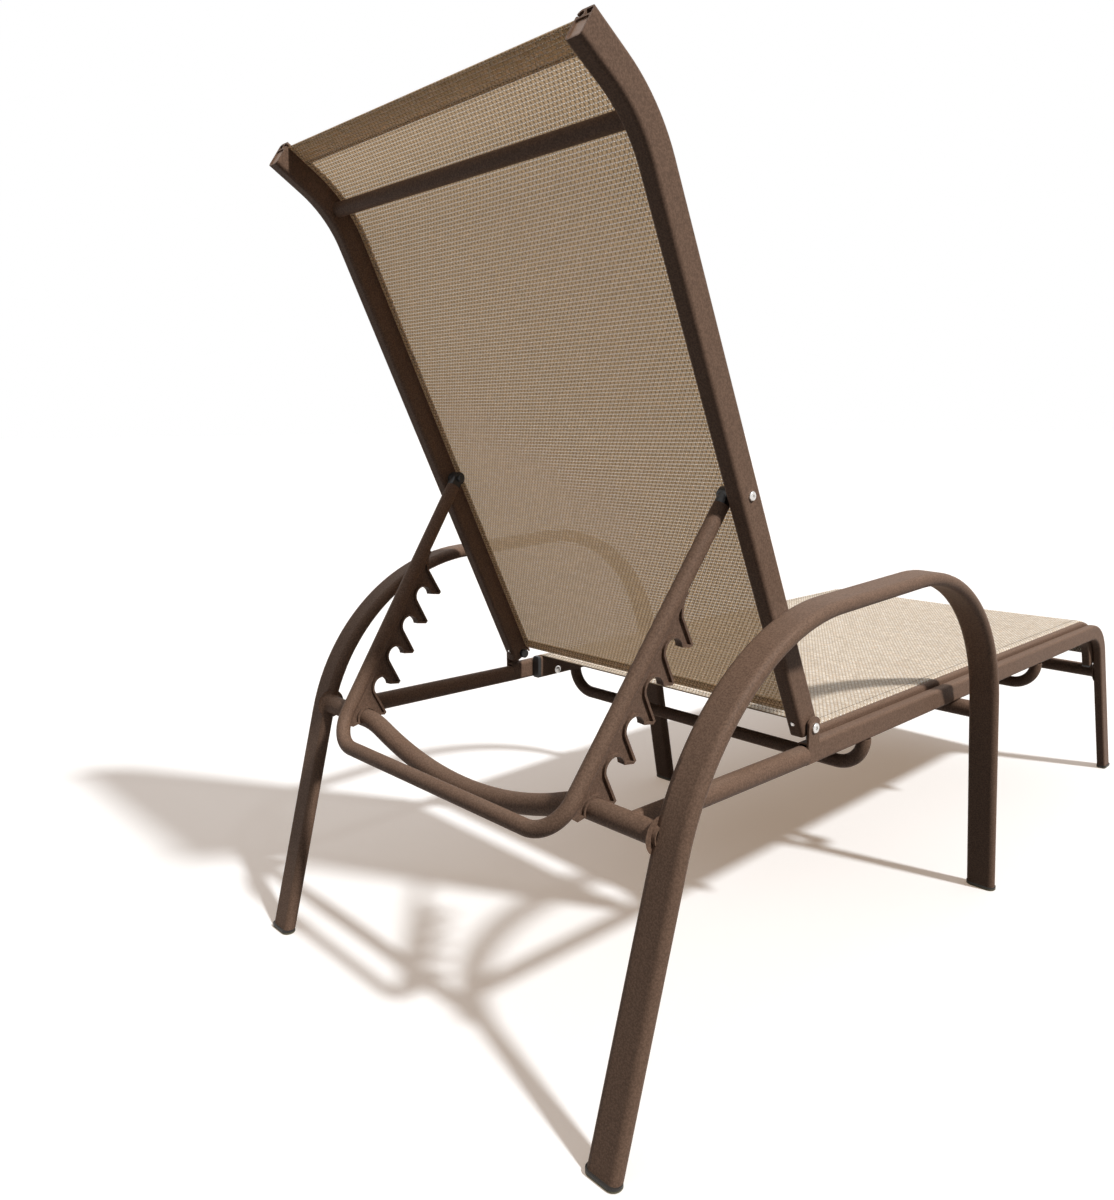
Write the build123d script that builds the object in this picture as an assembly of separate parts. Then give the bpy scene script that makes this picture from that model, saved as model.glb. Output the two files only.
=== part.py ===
from build123d import *
import math
import os

# Sling chaise lounge, head end towards +Y, foot end towards -Y, all values in mm.
# The sitter's left is +X. Left pieces are built first and mirrored for the right.

# Shared clearances and the overrun used by every cut
RUN_GAP = 0.05
FIT_GAP = 0.15
SLEEVE_GAP = 0.3
OVERRUN = 40.0
# Side of a cutting block that is wider than the whole chaise
SPAN = 2400.0

# Floor pads
PAD_H = 6.0
PAD_LIP = 1.0
PAD_EDGE = 1.2
PLUG_DEPTH = 26.0
PLUG_ROOT_Z = 3.0

# Flat-oval arm frames
ARM_X = 324.8
ARM_LEAN = 1.38
ARM_OVAL_W = 42.5
ARM_OVAL_T = 17.5
ARM_WALL = 2.0
ARM_REAR_CORNER_Z = 517.5
ARM_FRONT_CORNER_Z = 536.7
REAR_FOOT_Y = 793.2
ARM_REAR_CORNER_Y = 653.0
ARM_FRONT_CORNER_Y = 25.8
MIDDLE_FOOT_Y = -66.4
ARM_REAR_BEND_R = 288.0
ARM_FRONT_BEND_R = 255.0

# Side rails that bend down into the foot legs
RAIL_X = 279.0
RAIL_W = 16.0
RAIL_H = 29.0
RAIL_EDGE_R = 4.5
RAIL_WALL = 2.0
RAIL_Z = 321.0
RAIL_DROP_SHARE = 0.0058
RAIL_END_Y = 391.5
LEG_RAKE = 18.7
FOOT_LEG_Y = -782.5
RAIL_BEND_R = 72.0

# Extruded seat sling rails
SLING_RAIL_X = 263.0
SLING_RAIL_W = 15.0
SLING_RAIL_H = 36.5
SLING_RAIL_EDGE_R = 3.0
SLING_RAIL_TOP_R = 5.0
SLING_RAIL_WALL = 1.8
SLING_RAIL_END_Y = 342.5
SLING_LEG_SETBACK = 11.0
SLING_RAIL_BEND_R = 85.0
SLING_RAIL_LOW_Z = 244.0
END_CAP_T = 6.0
FOOT_CAP_T = 4.0
CAP_SPIGOT = 12.0
CAP_EDGE_R = 1.5
CAP_CHAMFER = 0.8

# Keder channel, spline and woven sling
BORE_D = 7.0
BORE_INSET = 6.0
SLOT_W = 2.6
SPLINE_D = 4.4
HEM_LOOP_D = 6.4
SLING_T = 1.2
SEAT_SLING_START_Y = 338.5
SEAT_SLING_TRIM = 6.0
SPLINE_TRIM = 3.0
BACK_SLING_START = 6.0
BACK_SLING_TRIM = 3.0

# Round cross tubes
BAR_D = 25.4
BAR_WALL = 1.8
WELD_R = 8.0
REAR_BAR_Y = 705.0
REAR_BAR_Z = 324.8
REAR_BAR_BOW_HALF = 218.0
REAR_BAR_SAG = 40.0
REAR_BAR_BLEND_R = 110.0
MIDDLE_BAR_Y = -40.5
FOOT_BAR_Y = -709.5
FOOT_BAR_Z = 221.0
REAR_RAIL_X = 278.5
REAR_RAIL_START_Z = 318.5

# Dropped braces under the seat
BRACE_D = 19.0
BRACE_WALL = 1.6
BRACE_X = 278.5
BRACE_DROP = 41.5
BRACE_BEND_R = 40.0
BRACE_REAR_Y = 240.0
BRACE_FRONT_Y = -359.5

# Back hinge
HINGE_Y = 379.5
HINGE_Z = 354.2
EAR_T = 3.0
EAR_HALF_W = 12.0
EAR_TOP_R = 14.0
EAR_FOOT_DROP = 12.5
HINGE_BOLT_D = 8.0
HINGE_HEAD_D = 13.0
HINGE_HEAD_T = 3.6
HINGE_HEX = 5.0
HINGE_HEX_DEPTH = 2.4
HINGE_SPACER_D = 20.0
HINGE_NUT_D = 14.0
HINGE_NUT_T = 6.5
HINGE_DOME_R = 1.8

# Back uprights
BACK_ANGLE = 65.0
UPRIGHT_X = 270.3
UPRIGHT_W = 21.5
UPRIGHT_DEPTH = 35.0
UPRIGHT_EDGE_R = 5.0
UPRIGHT_WALL = 2.0
UPRIGHT_TAIL = 5.0
UPRIGHT_CORNER = 725.7
HEAD_ROLL = 31.8
HEAD_LEN = 98.0
HEAD_BEND_R = 170.0
BORE_SIDE_INSET = 5.5
TOP_CAP_RECESS = 1.5
TOP_CAP_T = 5.0
TAIL_PLUG_LEN = 22.0
HEAD_BAR_D = 19.0
HEAD_BAR_WALL = 1.6

# Support bail and its pivot on the uprights
PIVOT_ALONG = 324.0
PIVOT_BOLT_D = 6.0
PIVOT_HEAD_D = 11.0
PIVOT_HEAD_T = 2.8
PIVOT_HEX = 4.0
PIVOT_HEX_DEPTH = 1.6
PIVOT_NUT_D = 10.0
PIVOT_NUT_T = 5.0
NUT_ROUND_SHARE = 0.25
PIVOT_SPACER_D = 15.0
BAIL_D = 19.0
BAIL_WALL = 1.8
BAIL_TOP_X = 247.5
BAIL_CORNER_X = 218.0
BAIL_LEN = 419.5
BAIL_BEND_R = 48.0
BAIL_TUBE_START = 14.0
BAIL_PLUG_W = 13.0
BAIL_PLUG_SPIGOT = 34.0

# Notched racks in bail coordinates: distance along the arm, offset from its axis
NOTCH_COUNT = 5
NOTCH_PITCH = 48.0
NOTCH_DEPTH = 31.5
NOTCH_R = 13.5
TIP_DEPTH = 56.0
TIP_SHOULDER_DEPTH = 55.0
ROOT_DEPTH = 20.0
TIP_BACK = 19.5
TIP_SHOULDER_BACK = 15.0
FLANK_ANGLE = 231.0
CROWN_ANGLE = 135.0
LIP_ANGLE = 36.0
RACK_TOP_BACK = 62.0
RACK_ROOT_BACK = 37.0
RACK_END_PAST = 20.0
RACK_END_DEPTH = 15.0
RACK_W = 11.0
RACK_WEB = 4.0
RACK_RIM = 3.0
RACK_TOE_BACK = 50.0
RACK_TOE_DEPTH = 12.0
SADDLE_W = 12.0
SADDLE_T = 2.4

# Screws that hold the sling rails to the side rails
RAIL_SCREW_YS = (305.5, -230.0, -560.0)
RAIL_SCREW_DROP = 6.5
RAIL_SCREW_D = 5.0
RAIL_SCREW_HEAD_D = 9.5
RAIL_SCREW_HEAD_T = 3.0
RAIL_SCREW_REACH = 5.0
RAIL_WASHER_D = 13.0
RAIL_WASHER_T = 1.2

# Small screws on the rear face at the foot of each upright
TAIL_SCREW_ALONG = 14.0
TAIL_SCREW_D = 3.5
TAIL_SCREW_HEAD_D = 7.0
TAIL_SCREW_HEAD_T = 0.9
TAIL_SCREW_REACH = 8.0

HEX_SIDES = 6
QUARTER_TURN = 90.0

# Values that follow from those above
SLING_RAIL_LIFT = (SLING_RAIL_H - RAIL_H) / 2
RAIL_OUTER_X = RAIL_X + RAIL_W / 2
UPRIGHT_INNER_X = UPRIGHT_X - UPRIGHT_W / 2
UPRIGHT_OUTER_X = UPRIGHT_X + UPRIGHT_W / 2
BORE_DEPTH = UPRIGHT_DEPTH / 2 - BORE_INSET


def direction(angle):
    """Unit vector in the side plane, angle above +Y."""
    a = math.radians(angle)
    return Vector(0, math.cos(a), math.sin(a))


UP_BACK = direction(BACK_ANGLE)
HINGE = Vector(0, HINGE_Y, HINGE_Z)
PIVOT = HINGE + UP_BACK * PIVOT_ALONG
REAR_BAR_CENTRE = Vector(0, REAR_BAR_Y, REAR_BAR_Z)
NOTCH_REACH = math.sqrt((REAR_BAR_CENTRE - PIVOT).length ** 2 - NOTCH_DEPTH ** 2)
ARM_STRETCH = math.hypot(BAIL_LEN, BAIL_TOP_X - BAIL_CORNER_X) / BAIL_LEN
FIRST_NOTCH = NOTCH_REACH * ARM_STRETCH - NOTCH_PITCH * (NOTCH_COUNT - 1)
TO_BAR = REAR_BAR_CENTRE - PIVOT
BAIL_ANGLE = math.degrees(math.atan2(TO_BAR.Z, TO_BAR.Y) + math.atan2(NOTCH_DEPTH, NOTCH_REACH))
DOWN_BAIL = direction(BAIL_ANGLE)
OFF_BAIL = direction(BAIL_ANGLE + QUARTER_TURN)


def rail_z(y):
    """Height of the side rail's centre line, which drops a little towards the foot."""
    return RAIL_Z + RAIL_DROP_SHARE * (y - HINGE_Y)


def rail_bottom(y):
    return rail_z(y) - RAIL_H / 2


def leg_corner(offset_y, lift):
    """Where a sloping rail line meets a foot leg line set back by the given amount."""
    slope = math.tan(math.radians(LEG_RAKE))
    base_z = RAIL_Z + lift - RAIL_DROP_SHARE * HINGE_Y
    y = (FOOT_LEG_Y + offset_y + slope * base_z) / (1 - slope * RAIL_DROP_SHARE)
    return y, rail_z(y) + lift


def bent_path(points, radii):
    """Wire through the points with a tangent arc of the given radius at each corner."""
    edges = []
    start = points[0]
    for corner, after, radius in zip(points[1:-1], points[2:], radii):
        into = (corner - start).normalized()
        out = (after - corner).normalized()
        turn = math.acos(max(-1, min(1, into.dot(out))))
        reach = radius * math.tan(turn / 2)
        first = corner - into * reach
        last = corner + out * reach
        inward = (out - into).normalized()
        centre = corner + inward * (radius / math.cos(turn / 2))
        middle = centre - inward * radius
        edges.append(Line(start, first))
        edges.append(ThreePointArc(first, middle, last))
        start = last
    edges.append(Line(start, points[-1]))
    return Wire(edges)


def section_plane(path):
    """Plane across the start of a side-plane path, local x along +X."""
    return Plane(origin=path.position_at(0), x_dir=(1, 0, 0), z_dir=path.tangent_at(0))


def ring_along(path, outer_d, wall):
    plane = Plane(origin=path.position_at(0), z_dir=path.tangent_at(0))
    face = Circle(outer_d / 2) - Circle(outer_d / 2 - wall)
    return sweep(plane * face, path=path)


def rod_along(path, outer_d):
    plane = Plane(origin=path.position_at(0), z_dir=path.tangent_at(0))
    return sweep(plane * Circle(outer_d / 2), path=path)


def cross_rod(x_from, x_to, y, z, diameter):
    """Round rod along X."""
    plane = Plane(origin=(x_from, y, z), x_dir=(0, 1, 0), z_dir=(1, 0, 0))
    return extrude(plane * Circle(diameter / 2), x_to - x_from)


def mirrored(shape):
    return mirror(shape, about=Plane.YZ)


def group(*shapes):
    solids = [solid for shape in shapes for solid in shape.solids()]
    return Compound(children=solids)


def both_sides(shape):
    return group(shape, mirrored(shape))


def below(z):
    """Large block that reaches up to the given height."""
    return Pos(0, 0, z - OVERRUN / 2) * Box(SPAN, SPAN, OVERRUN)


# Arm frames

def arm_path():
    rear_rise = (REAR_FOOT_Y - ARM_REAR_CORNER_Y) / ARM_REAR_CORNER_Z
    front_rise = (ARM_FRONT_CORNER_Y - MIDDLE_FOOT_Y) / ARM_FRONT_CORNER_Z
    points = [
        Vector(ARM_X, REAR_FOOT_Y + rear_rise * PAD_H, -PAD_H),
        Vector(ARM_X, ARM_REAR_CORNER_Y, ARM_REAR_CORNER_Z),
        Vector(ARM_X, ARM_FRONT_CORNER_Y, ARM_FRONT_CORNER_Z),
        Vector(ARM_X, MIDDLE_FOOT_Y - front_rise * PAD_H, -PAD_H),
    ]
    return bent_path(points, (ARM_REAR_BEND_R, ARM_FRONT_BEND_R))


def lean_out(shape):
    """Turns an arm part about its floor line, so that its top lies further out."""
    place = Pos(ARM_X, 0, 0) * Rot(0, ARM_LEAN, 0) * Pos(-ARM_X, 0, 0)
    return place * shape


def flat_oval(width, thickness):
    return SlotOverall(width, thickness)


def arm_envelope():
    path = arm_path()
    face = section_plane(path) * flat_oval(ARM_OVAL_W, ARM_OVAL_T)
    return lean_out(sweep(face, path=path)) - below(PAD_H)


def arm_frame():
    path = arm_path()
    inner = flat_oval(ARM_OVAL_W - 2 * ARM_WALL, ARM_OVAL_T - 2 * ARM_WALL)
    face = flat_oval(ARM_OVAL_W, ARM_OVAL_T) - inner
    return lean_out(sweep(section_plane(path) * face, path=path)) - below(PAD_H)


def floor_pad(x, y, lean, outline, plug, side_lean=0):
    """Pad under a leg end with a plug that runs up inside the tube."""
    pad = extrude(Pos(x, y, 0) * outline, PAD_H)
    pad = chamfer(pad.faces().sort_by(Axis.Z)[0].edges(), PAD_EDGE)
    axis = Vector(0, math.sin(math.radians(lean)), math.cos(math.radians(lean)))
    plane = Plane(origin=(x, y, 0), x_dir=(1, 0, 0), z_dir=axis)
    turn = Pos(x, y, 0) * Rot(0, side_lean, 0) * Pos(-x, -y, 0)
    stem = turn * extrude(plane * plug, PLUG_DEPTH) - below(PLUG_ROOT_Z)
    return pad + stem


def arm_pad(y, lean):
    spread = 2 * PAD_LIP
    drop = ARM_OVAL_T / math.cos(math.radians(lean))
    outline = flat_oval(ARM_OVAL_W + spread, drop + spread)
    slim = 2 * (ARM_WALL + SLEEVE_GAP)
    plug = flat_oval(ARM_OVAL_W - slim, ARM_OVAL_T - slim)
    return floor_pad(ARM_X, y, lean, outline, plug, ARM_LEAN)


def rear_pad():
    lean = math.degrees(math.atan2(ARM_REAR_CORNER_Y - REAR_FOOT_Y, ARM_REAR_CORNER_Z))
    return arm_pad(REAR_FOOT_Y, lean)


def middle_pad():
    lean = math.degrees(math.atan2(ARM_FRONT_CORNER_Y - MIDDLE_FOOT_Y, ARM_FRONT_CORNER_Z))
    return arm_pad(MIDDLE_FOOT_Y, lean)


# Side rails with foot legs

def side_rail_path():
    slope = math.tan(math.radians(LEG_RAKE))
    corner_y, corner_z = leg_corner(0, 0)
    points = [
        Vector(RAIL_X, RAIL_END_Y, rail_z(RAIL_END_Y)),
        Vector(RAIL_X, corner_y, corner_z),
        Vector(RAIL_X, FOOT_LEG_Y - PAD_H * slope, -PAD_H),
    ]
    return bent_path(points, (RAIL_BEND_R,))


def rail_outline(shrink):
    return RectangleRounded(RAIL_W - 2 * shrink, RAIL_H - 2 * shrink, RAIL_EDGE_R - shrink)


def ear_outline():
    """Side view of the hinge ear in local coordinates, origin at the hinge."""
    drop = RAIL_Z - EAR_FOOT_DROP - HINGE_Z
    tab = Pos(0, drop / 2) * Rectangle(2 * EAR_HALF_W, -drop)
    return tab + (Circle(EAR_TOP_R) & Rectangle(2 * EAR_HALF_W, 2 * EAR_TOP_R))


def ear_block():
    plane = Plane(origin=(RAIL_OUTER_X - EAR_T, HINGE_Y, HINGE_Z), x_dir=(0, 1, 0), z_dir=(1, 0, 0))
    return extrude(plane * ear_outline(), EAR_T)


def side_rail():
    path = side_rail_path()
    face = rail_outline(0) - rail_outline(RAIL_WALL)
    rail = sweep(section_plane(path) * face, path=path)
    return rail - below(PAD_H) - ear_block() - rail_screw_holes()


def foot_pad():
    drop = RAIL_H / math.cos(math.radians(LEG_RAKE))
    spread = 2 * PAD_LIP
    outline = RectangleRounded(RAIL_W + spread, drop + spread, RAIL_EDGE_R + PAD_LIP)
    plug = rail_outline(RAIL_WALL + SLEEVE_GAP)
    return floor_pad(RAIL_X, FOOT_LEG_Y, LEG_RAKE, outline, plug)


def hinge_plate():
    hole = cross_rod(RAIL_X, RAIL_OUTER_X + OVERRUN, HINGE_Y, HINGE_Z, HINGE_BOLT_D)
    return ear_block() - hole


# Seat sling rails

def seat_path(x, start_y, low_z):
    slope = math.tan(math.radians(LEG_RAKE))
    corner_y, corner_z = leg_corner(SLING_LEG_SETBACK, SLING_RAIL_LIFT)
    points = [
        Vector(x, start_y, rail_z(start_y) + SLING_RAIL_LIFT),
        Vector(x, corner_y, corner_z),
        Vector(x, corner_y - (corner_z - low_z) * slope, low_z),
    ]
    return bent_path(points, (SLING_RAIL_BEND_R,))


def sling_rail_solid_section():
    body = RectangleRounded(SLING_RAIL_W, SLING_RAIL_H, SLING_RAIL_EDGE_R)
    lower = Pos(0, -SLING_RAIL_TOP_R / 2) * Rectangle(SLING_RAIL_W, SLING_RAIL_H - SLING_RAIL_TOP_R)
    crown = RectangleRounded(SLING_RAIL_W, SLING_RAIL_H, SLING_RAIL_TOP_R)
    return (body & lower) + (crown - (crown & lower))


def bore_height():
    return SLING_RAIL_H / 2 - BORE_INSET


def sling_rail_cavity(shrink):
    top = bore_height() - BORE_D / 2 - SLING_RAIL_WALL - shrink
    bottom = SLING_RAIL_WALL + shrink - SLING_RAIL_H / 2
    width = SLING_RAIL_W - 2 * (SLING_RAIL_WALL + shrink)
    return Pos(0, (top + bottom) / 2) * RectangleRounded(width, top - bottom, CAP_EDGE_R)


def sling_rail_section():
    bore = Pos(0, bore_height()) * Circle(BORE_D / 2)
    slot = Pos(0, bore_height() + BORE_INSET / 2) * Rectangle(SLOT_W, BORE_INSET + SLOT_W)
    return sling_rail_solid_section() - sling_rail_cavity(0) - bore - slot


def seat_sling_rail():
    path = seat_path(SLING_RAIL_X, SLING_RAIL_END_Y, SLING_RAIL_LOW_Z)
    rail = sweep(section_plane(path) * sling_rail_section(), path=path)
    return rail - rail_screw_holes()


def end_cap(origin, outward, thickness):
    """Cap over an open sling rail end with a spigot in the lower chamber."""
    plane = Plane(origin=origin, x_dir=(1, 0, 0), z_dir=outward)
    flip = plane.y_dir.Z
    side = sling_rail_solid_section() if flip > 0 else mirror(sling_rail_solid_section(), about=Plane.XZ)
    cavity = sling_rail_cavity(FIT_GAP)
    inner = cavity if flip > 0 else mirror(cavity, about=Plane.XZ)
    plate = extrude(plane * side, thickness)
    plate = chamfer(plate.faces().sort_by(Axis(origin, outward))[-1].edges(), CAP_CHAMFER)
    return plate + extrude(plane * inner, -CAP_SPIGOT)


def sling_rail_caps():
    path = seat_path(SLING_RAIL_X, SLING_RAIL_END_Y, SLING_RAIL_LOW_Z)
    rear = end_cap(path.position_at(0), path.tangent_at(0) * -1, END_CAP_T)
    foot = end_cap(path.position_at(1), path.tangent_at(1), FOOT_CAP_T)
    return both_sides(group(rear, foot))


def rail_screw_holes():
    reach = RAIL_X - SLING_RAIL_X
    inner = SLING_RAIL_X - reach
    drop = RAIL_SCREW_DROP
    return group(*[cross_rod(inner, RAIL_X, y, rail_z(y) - drop, RAIL_SCREW_D) for y in RAIL_SCREW_YS])


def rail_screws():
    face = SLING_RAIL_X - SLING_RAIL_W / 2 - RAIL_WASHER_T
    tip = RAIL_X - RAIL_W / 2 + RAIL_SCREW_REACH
    screws = []
    for y in RAIL_SCREW_YS:
        shank = cross_rod(face, tip, y, rail_z(y) - RAIL_SCREW_DROP, RAIL_SCREW_D - 2 * RUN_GAP)
        head = cross_rod(face - RAIL_SCREW_HEAD_T, face, y, rail_z(y) - RAIL_SCREW_DROP, RAIL_SCREW_HEAD_D)
        head = fillet(head.faces().sort_by(Axis.X)[0].edges(), RAIL_SCREW_HEAD_T / 2)
        screws.append(shank + head)
    return both_sides(group(*screws))


def rail_washers():
    face = SLING_RAIL_X - SLING_RAIL_W / 2
    rings = []
    for y in RAIL_SCREW_YS:
        disc = cross_rod(face - RAIL_WASHER_T, face, y, rail_z(y) - RAIL_SCREW_DROP, RAIL_WASHER_D)
        hole = cross_rod(face - OVERRUN, face + OVERRUN, y, rail_z(y) - RAIL_SCREW_DROP, RAIL_SCREW_D)
        rings.append(disc - hole)
    return both_sides(group(*rings))


# Woven slings and their splines

def hem_loop(x, y):
    return Pos(x, y) * (Circle(HEM_LOOP_D / 2) - Circle(SPLINE_D / 2 + RUN_GAP))


def seat_sling():
    """Sheet over both rails whose edges drop through the slots and wrap the splines."""
    path = seat_path(0, SEAT_SLING_START_Y, SLING_RAIL_LOW_Z + SEAT_SLING_TRIM)
    sheet_y = SLING_RAIL_H / 2 + SLEEVE_GAP + SLING_T / 2
    section = Pos(0, sheet_y) * Rectangle(2 * SLING_RAIL_X + SLING_T, SLING_T)
    loop_top = bore_height() + HEM_LOOP_D / 2 - SLING_T / 2
    for side in (-1, 1):
        x = side * SLING_RAIL_X
        tab = Pos(x, (sheet_y + loop_top) / 2) * Rectangle(SLING_T, sheet_y - loop_top)
        section = section + tab + hem_loop(x, bore_height())
    return sweep(section_plane(path) * section, path=path)


def seat_splines():
    start = SEAT_SLING_START_Y - SPLINE_TRIM
    path = seat_path(SLING_RAIL_X, start, SLING_RAIL_LOW_Z + SEAT_SLING_TRIM + SPLINE_TRIM)
    face = section_plane(path) * (Pos(0, bore_height()) * Circle(SPLINE_D / 2))
    return both_sides(sweep(face, path=path))


# Cross tubes and braces

def rail_space(y):
    """Sloping block that fills the space above the rails' undersides."""
    tilt = math.degrees(math.atan(RAIL_DROP_SHARE))
    block = Pos(0, 0, OVERRUN) * Box(SPAN, 2 * OVERRUN, 2 * OVERRUN)
    return Pos(0, y, rail_bottom(y)) * (Rot(tilt, 0, 0) * block)


def weld_ring(face_x, bar_d, y, z):
    """Concave weld fillet around a tube end that meets a face at the given x."""
    inner = bar_d / 2
    plane = Plane(origin=(face_x, y, z), x_dir=(-1, 0, 0), z_dir=(0, -1, 0))
    foot = Vector(0, inner)
    edge_lines = [
        Line(foot, (WELD_R, inner)),
        ThreePointArc((WELD_R, inner), weld_mid(inner), (0, inner + WELD_R)),
        Line((0, inner + WELD_R), foot),
    ]
    face = plane * make_face(Wire(edge_lines))
    return revolve(face, Axis((face_x, y, z), (1, 0, 0)))


def weld_mid(inner):
    step = WELD_R * (1 - math.cos(math.radians(QUARTER_TURN / 2)))
    return (step, inner + step)


def arm_side(z):
    """Inner side of the leaning arm at a height."""
    return ARM_X + z * math.tan(math.radians(ARM_LEAN)) - ARM_OVAL_W / 2


def arm_reach(z):
    """Where a crossbar that wraps a leg's rounded side ends."""
    return arm_side(z) + ARM_OVAL_T / 2


def straight_bar(half_len, y, z):
    tube = cross_rod(-half_len, half_len, y, z, BAR_D)
    bore = cross_rod(-half_len, half_len, y, z, BAR_D - 2 * BAR_WALL)
    return tube - bore


def foot_crossbar():
    face = RAIL_X - RAIL_W / 2
    ring = weld_ring(face, BAR_D, FOOT_BAR_Y, FOOT_BAR_Z)
    return straight_bar(face, FOOT_BAR_Y, FOOT_BAR_Z) + ring + mirrored(ring)


def middle_crossbar(arms):
    z = rail_bottom(MIDDLE_BAR_Y) - BAR_D / 2
    face = arm_side(z) + WELD_R / 2
    ring = weld_ring(face, BAR_D, MIDDLE_BAR_Y, z)
    bar = straight_bar(arm_reach(z), MIDDLE_BAR_Y, z) + ring + mirrored(ring)
    return bar - arms - rail_space(MIDDLE_BAR_Y)


def rear_bar_path():
    """Level stubs joined by a downward bow with reverse blends."""
    swing = 2 * math.atan2(REAR_BAR_SAG, REAR_BAR_BOW_HALF)
    main_r = REAR_BAR_BOW_HALF / math.sin(swing) - REAR_BAR_BLEND_R
    half = REAR_BAR_BOW_HALF

    def blend(angle, side):
        x = half - REAR_BAR_BLEND_R * math.sin(angle)
        z = REAR_BAR_Z - REAR_BAR_BLEND_R * (1 - math.cos(angle))
        return Vector(side * x, REAR_BAR_Y, z)

    low = Vector(0, REAR_BAR_Y, REAR_BAR_Z - REAR_BAR_SAG)
    reach = arm_reach(REAR_BAR_Z)
    edges = [
        Line((-reach, REAR_BAR_Y, REAR_BAR_Z), blend(0, -1)),
        ThreePointArc(blend(0, -1), blend(swing / 2, -1), blend(swing, -1)),
        ThreePointArc(blend(swing, -1), low, blend(swing, 1)),
        ThreePointArc(blend(swing, 1), blend(swing / 2, 1), blend(0, 1)),
        Line(blend(0, 1), (reach, REAR_BAR_Y, REAR_BAR_Z)),
    ]
    return Wire(edges)


def rear_crossbar(arms):
    path = rear_bar_path()
    face = arm_side(REAR_BAR_Z) + WELD_R / 2
    ring = weld_ring(face, BAR_D, REAR_BAR_Y, REAR_BAR_Z)
    bar = ring_along(path, BAR_D, BAR_WALL) + ring + mirrored(ring)
    return bar - arms


def side_rail_end_block():
    """Block ahead of the side rail's cut end, which is square to the sloping rail."""
    tilt = math.degrees(math.atan(RAIL_DROP_SHARE))
    block = Pos(0, -OVERRUN, 0) * Box(2 * OVERRUN, 2 * OVERRUN, 2 * OVERRUN)
    return Pos(REAR_RAIL_X, RAIL_END_Y, rail_z(RAIL_END_Y)) * (Rot(tilt, 0, 0) * block)


def rear_rail():
    start = Vector(REAR_RAIL_X, RAIL_END_Y - RAIL_W / 2, REAR_RAIL_START_Z)
    end = Vector(REAR_RAIL_X, REAR_BAR_Y, REAR_BAR_Z)
    path = Wire([Line(start, end)])
    tube = ring_along(path, BAR_D, BAR_WALL)
    block = side_rail_end_block()
    stub = cross_rod(0, ARM_X, REAR_BAR_Y, REAR_BAR_Z, BAR_D)
    return tube - block - stub - ear_block()


def seat_brace(y):
    top = rail_bottom(y) + BRACE_D / 2
    low = rail_bottom(y) - BRACE_DROP
    points = [
        Vector(-BRACE_X, y, top),
        Vector(-BRACE_X, y, low),
        Vector(BRACE_X, y, low),
        Vector(BRACE_X, y, top),
    ]
    brace = ring_along(bent_path(points, (BRACE_BEND_R, BRACE_BEND_R)), BRACE_D, BRACE_WALL)
    return brace - rail_space(y)


# Back uprights, head bar and back sling

def back_path(x, start, end_trim):
    bend = HINGE + UP_BACK * UPRIGHT_CORNER
    roll = direction(BACK_ANGLE - HEAD_ROLL)
    tip = bend + roll * (HEAD_LEN - end_trim)
    shift = Vector(x, 0, 0)
    points = [HINGE + UP_BACK * start + shift, bend + shift, tip + shift]
    return bent_path(points, (HEAD_BEND_R,))


def upright_cavity(shrink):
    """Rear chamber of the upright, local y towards the rear face."""
    front = BORE_D / 2 + UPRIGHT_WALL - BORE_DEPTH + shrink
    rear = UPRIGHT_DEPTH / 2 - UPRIGHT_WALL - shrink
    width = UPRIGHT_W - 2 * (UPRIGHT_WALL + shrink)
    return Pos(0, (front + rear) / 2) * RectangleRounded(width, rear - front, UPRIGHT_EDGE_R - UPRIGHT_WALL)


def bore_side():
    return BORE_SIDE_INSET - UPRIGHT_W / 2


def upright_section():
    outer = RectangleRounded(UPRIGHT_W, UPRIGHT_DEPTH, UPRIGHT_EDGE_R)
    bore = Pos(bore_side(), -BORE_DEPTH) * Circle(BORE_D / 2)
    slot_len = BORE_SIDE_INSET + SLOT_W
    slot = Pos(bore_side() - slot_len / 2, -BORE_DEPTH) * Rectangle(slot_len, SLOT_W)
    web = BORE_SIDE_INSET + BORE_D / 2 + UPRIGHT_WALL
    side_w = UPRIGHT_W - web - UPRIGHT_WALL
    side_h = BORE_D
    pocket = Pos(UPRIGHT_W / 2 - UPRIGHT_WALL - side_w / 2, -BORE_DEPTH) * Rectangle(side_w, side_h)
    return outer - upright_cavity(0) - bore - slot - pocket


def back_upright():
    path = back_path(UPRIGHT_X, -UPRIGHT_TAIL, 0)
    body = sweep(section_plane(path) * upright_section(), path=path)
    hinge = cross_rod(0, ARM_X, HINGE_Y, HINGE_Z, HINGE_BOLT_D + RUN_GAP)
    pivot = cross_rod(0, ARM_X, PIVOT.Y, PIVOT.Z, PIVOT_BOLT_D)
    return body - hinge - pivot - tail_screw_hole()


def head_bar_centre():
    """Middle of the centre line's bend at the head roll."""
    bend = HINGE + UP_BACK * UPRIGHT_CORNER
    roll = direction(BACK_ANGLE - HEAD_ROLL)
    inward = (roll - UP_BACK).normalized()
    past = HEAD_BEND_R / math.cos(math.radians(HEAD_ROLL / 2)) - HEAD_BEND_R
    return bend + inward * past


def head_crossbar():
    centre = head_bar_centre()
    reach = UPRIGHT_INNER_X
    tube = cross_rod(-reach, reach, centre.Y, centre.Z, HEAD_BAR_D)
    bore = cross_rod(-reach, reach, centre.Y, centre.Z, HEAD_BAR_D - 2 * HEAD_BAR_WALL)
    return tube - bore


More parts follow.
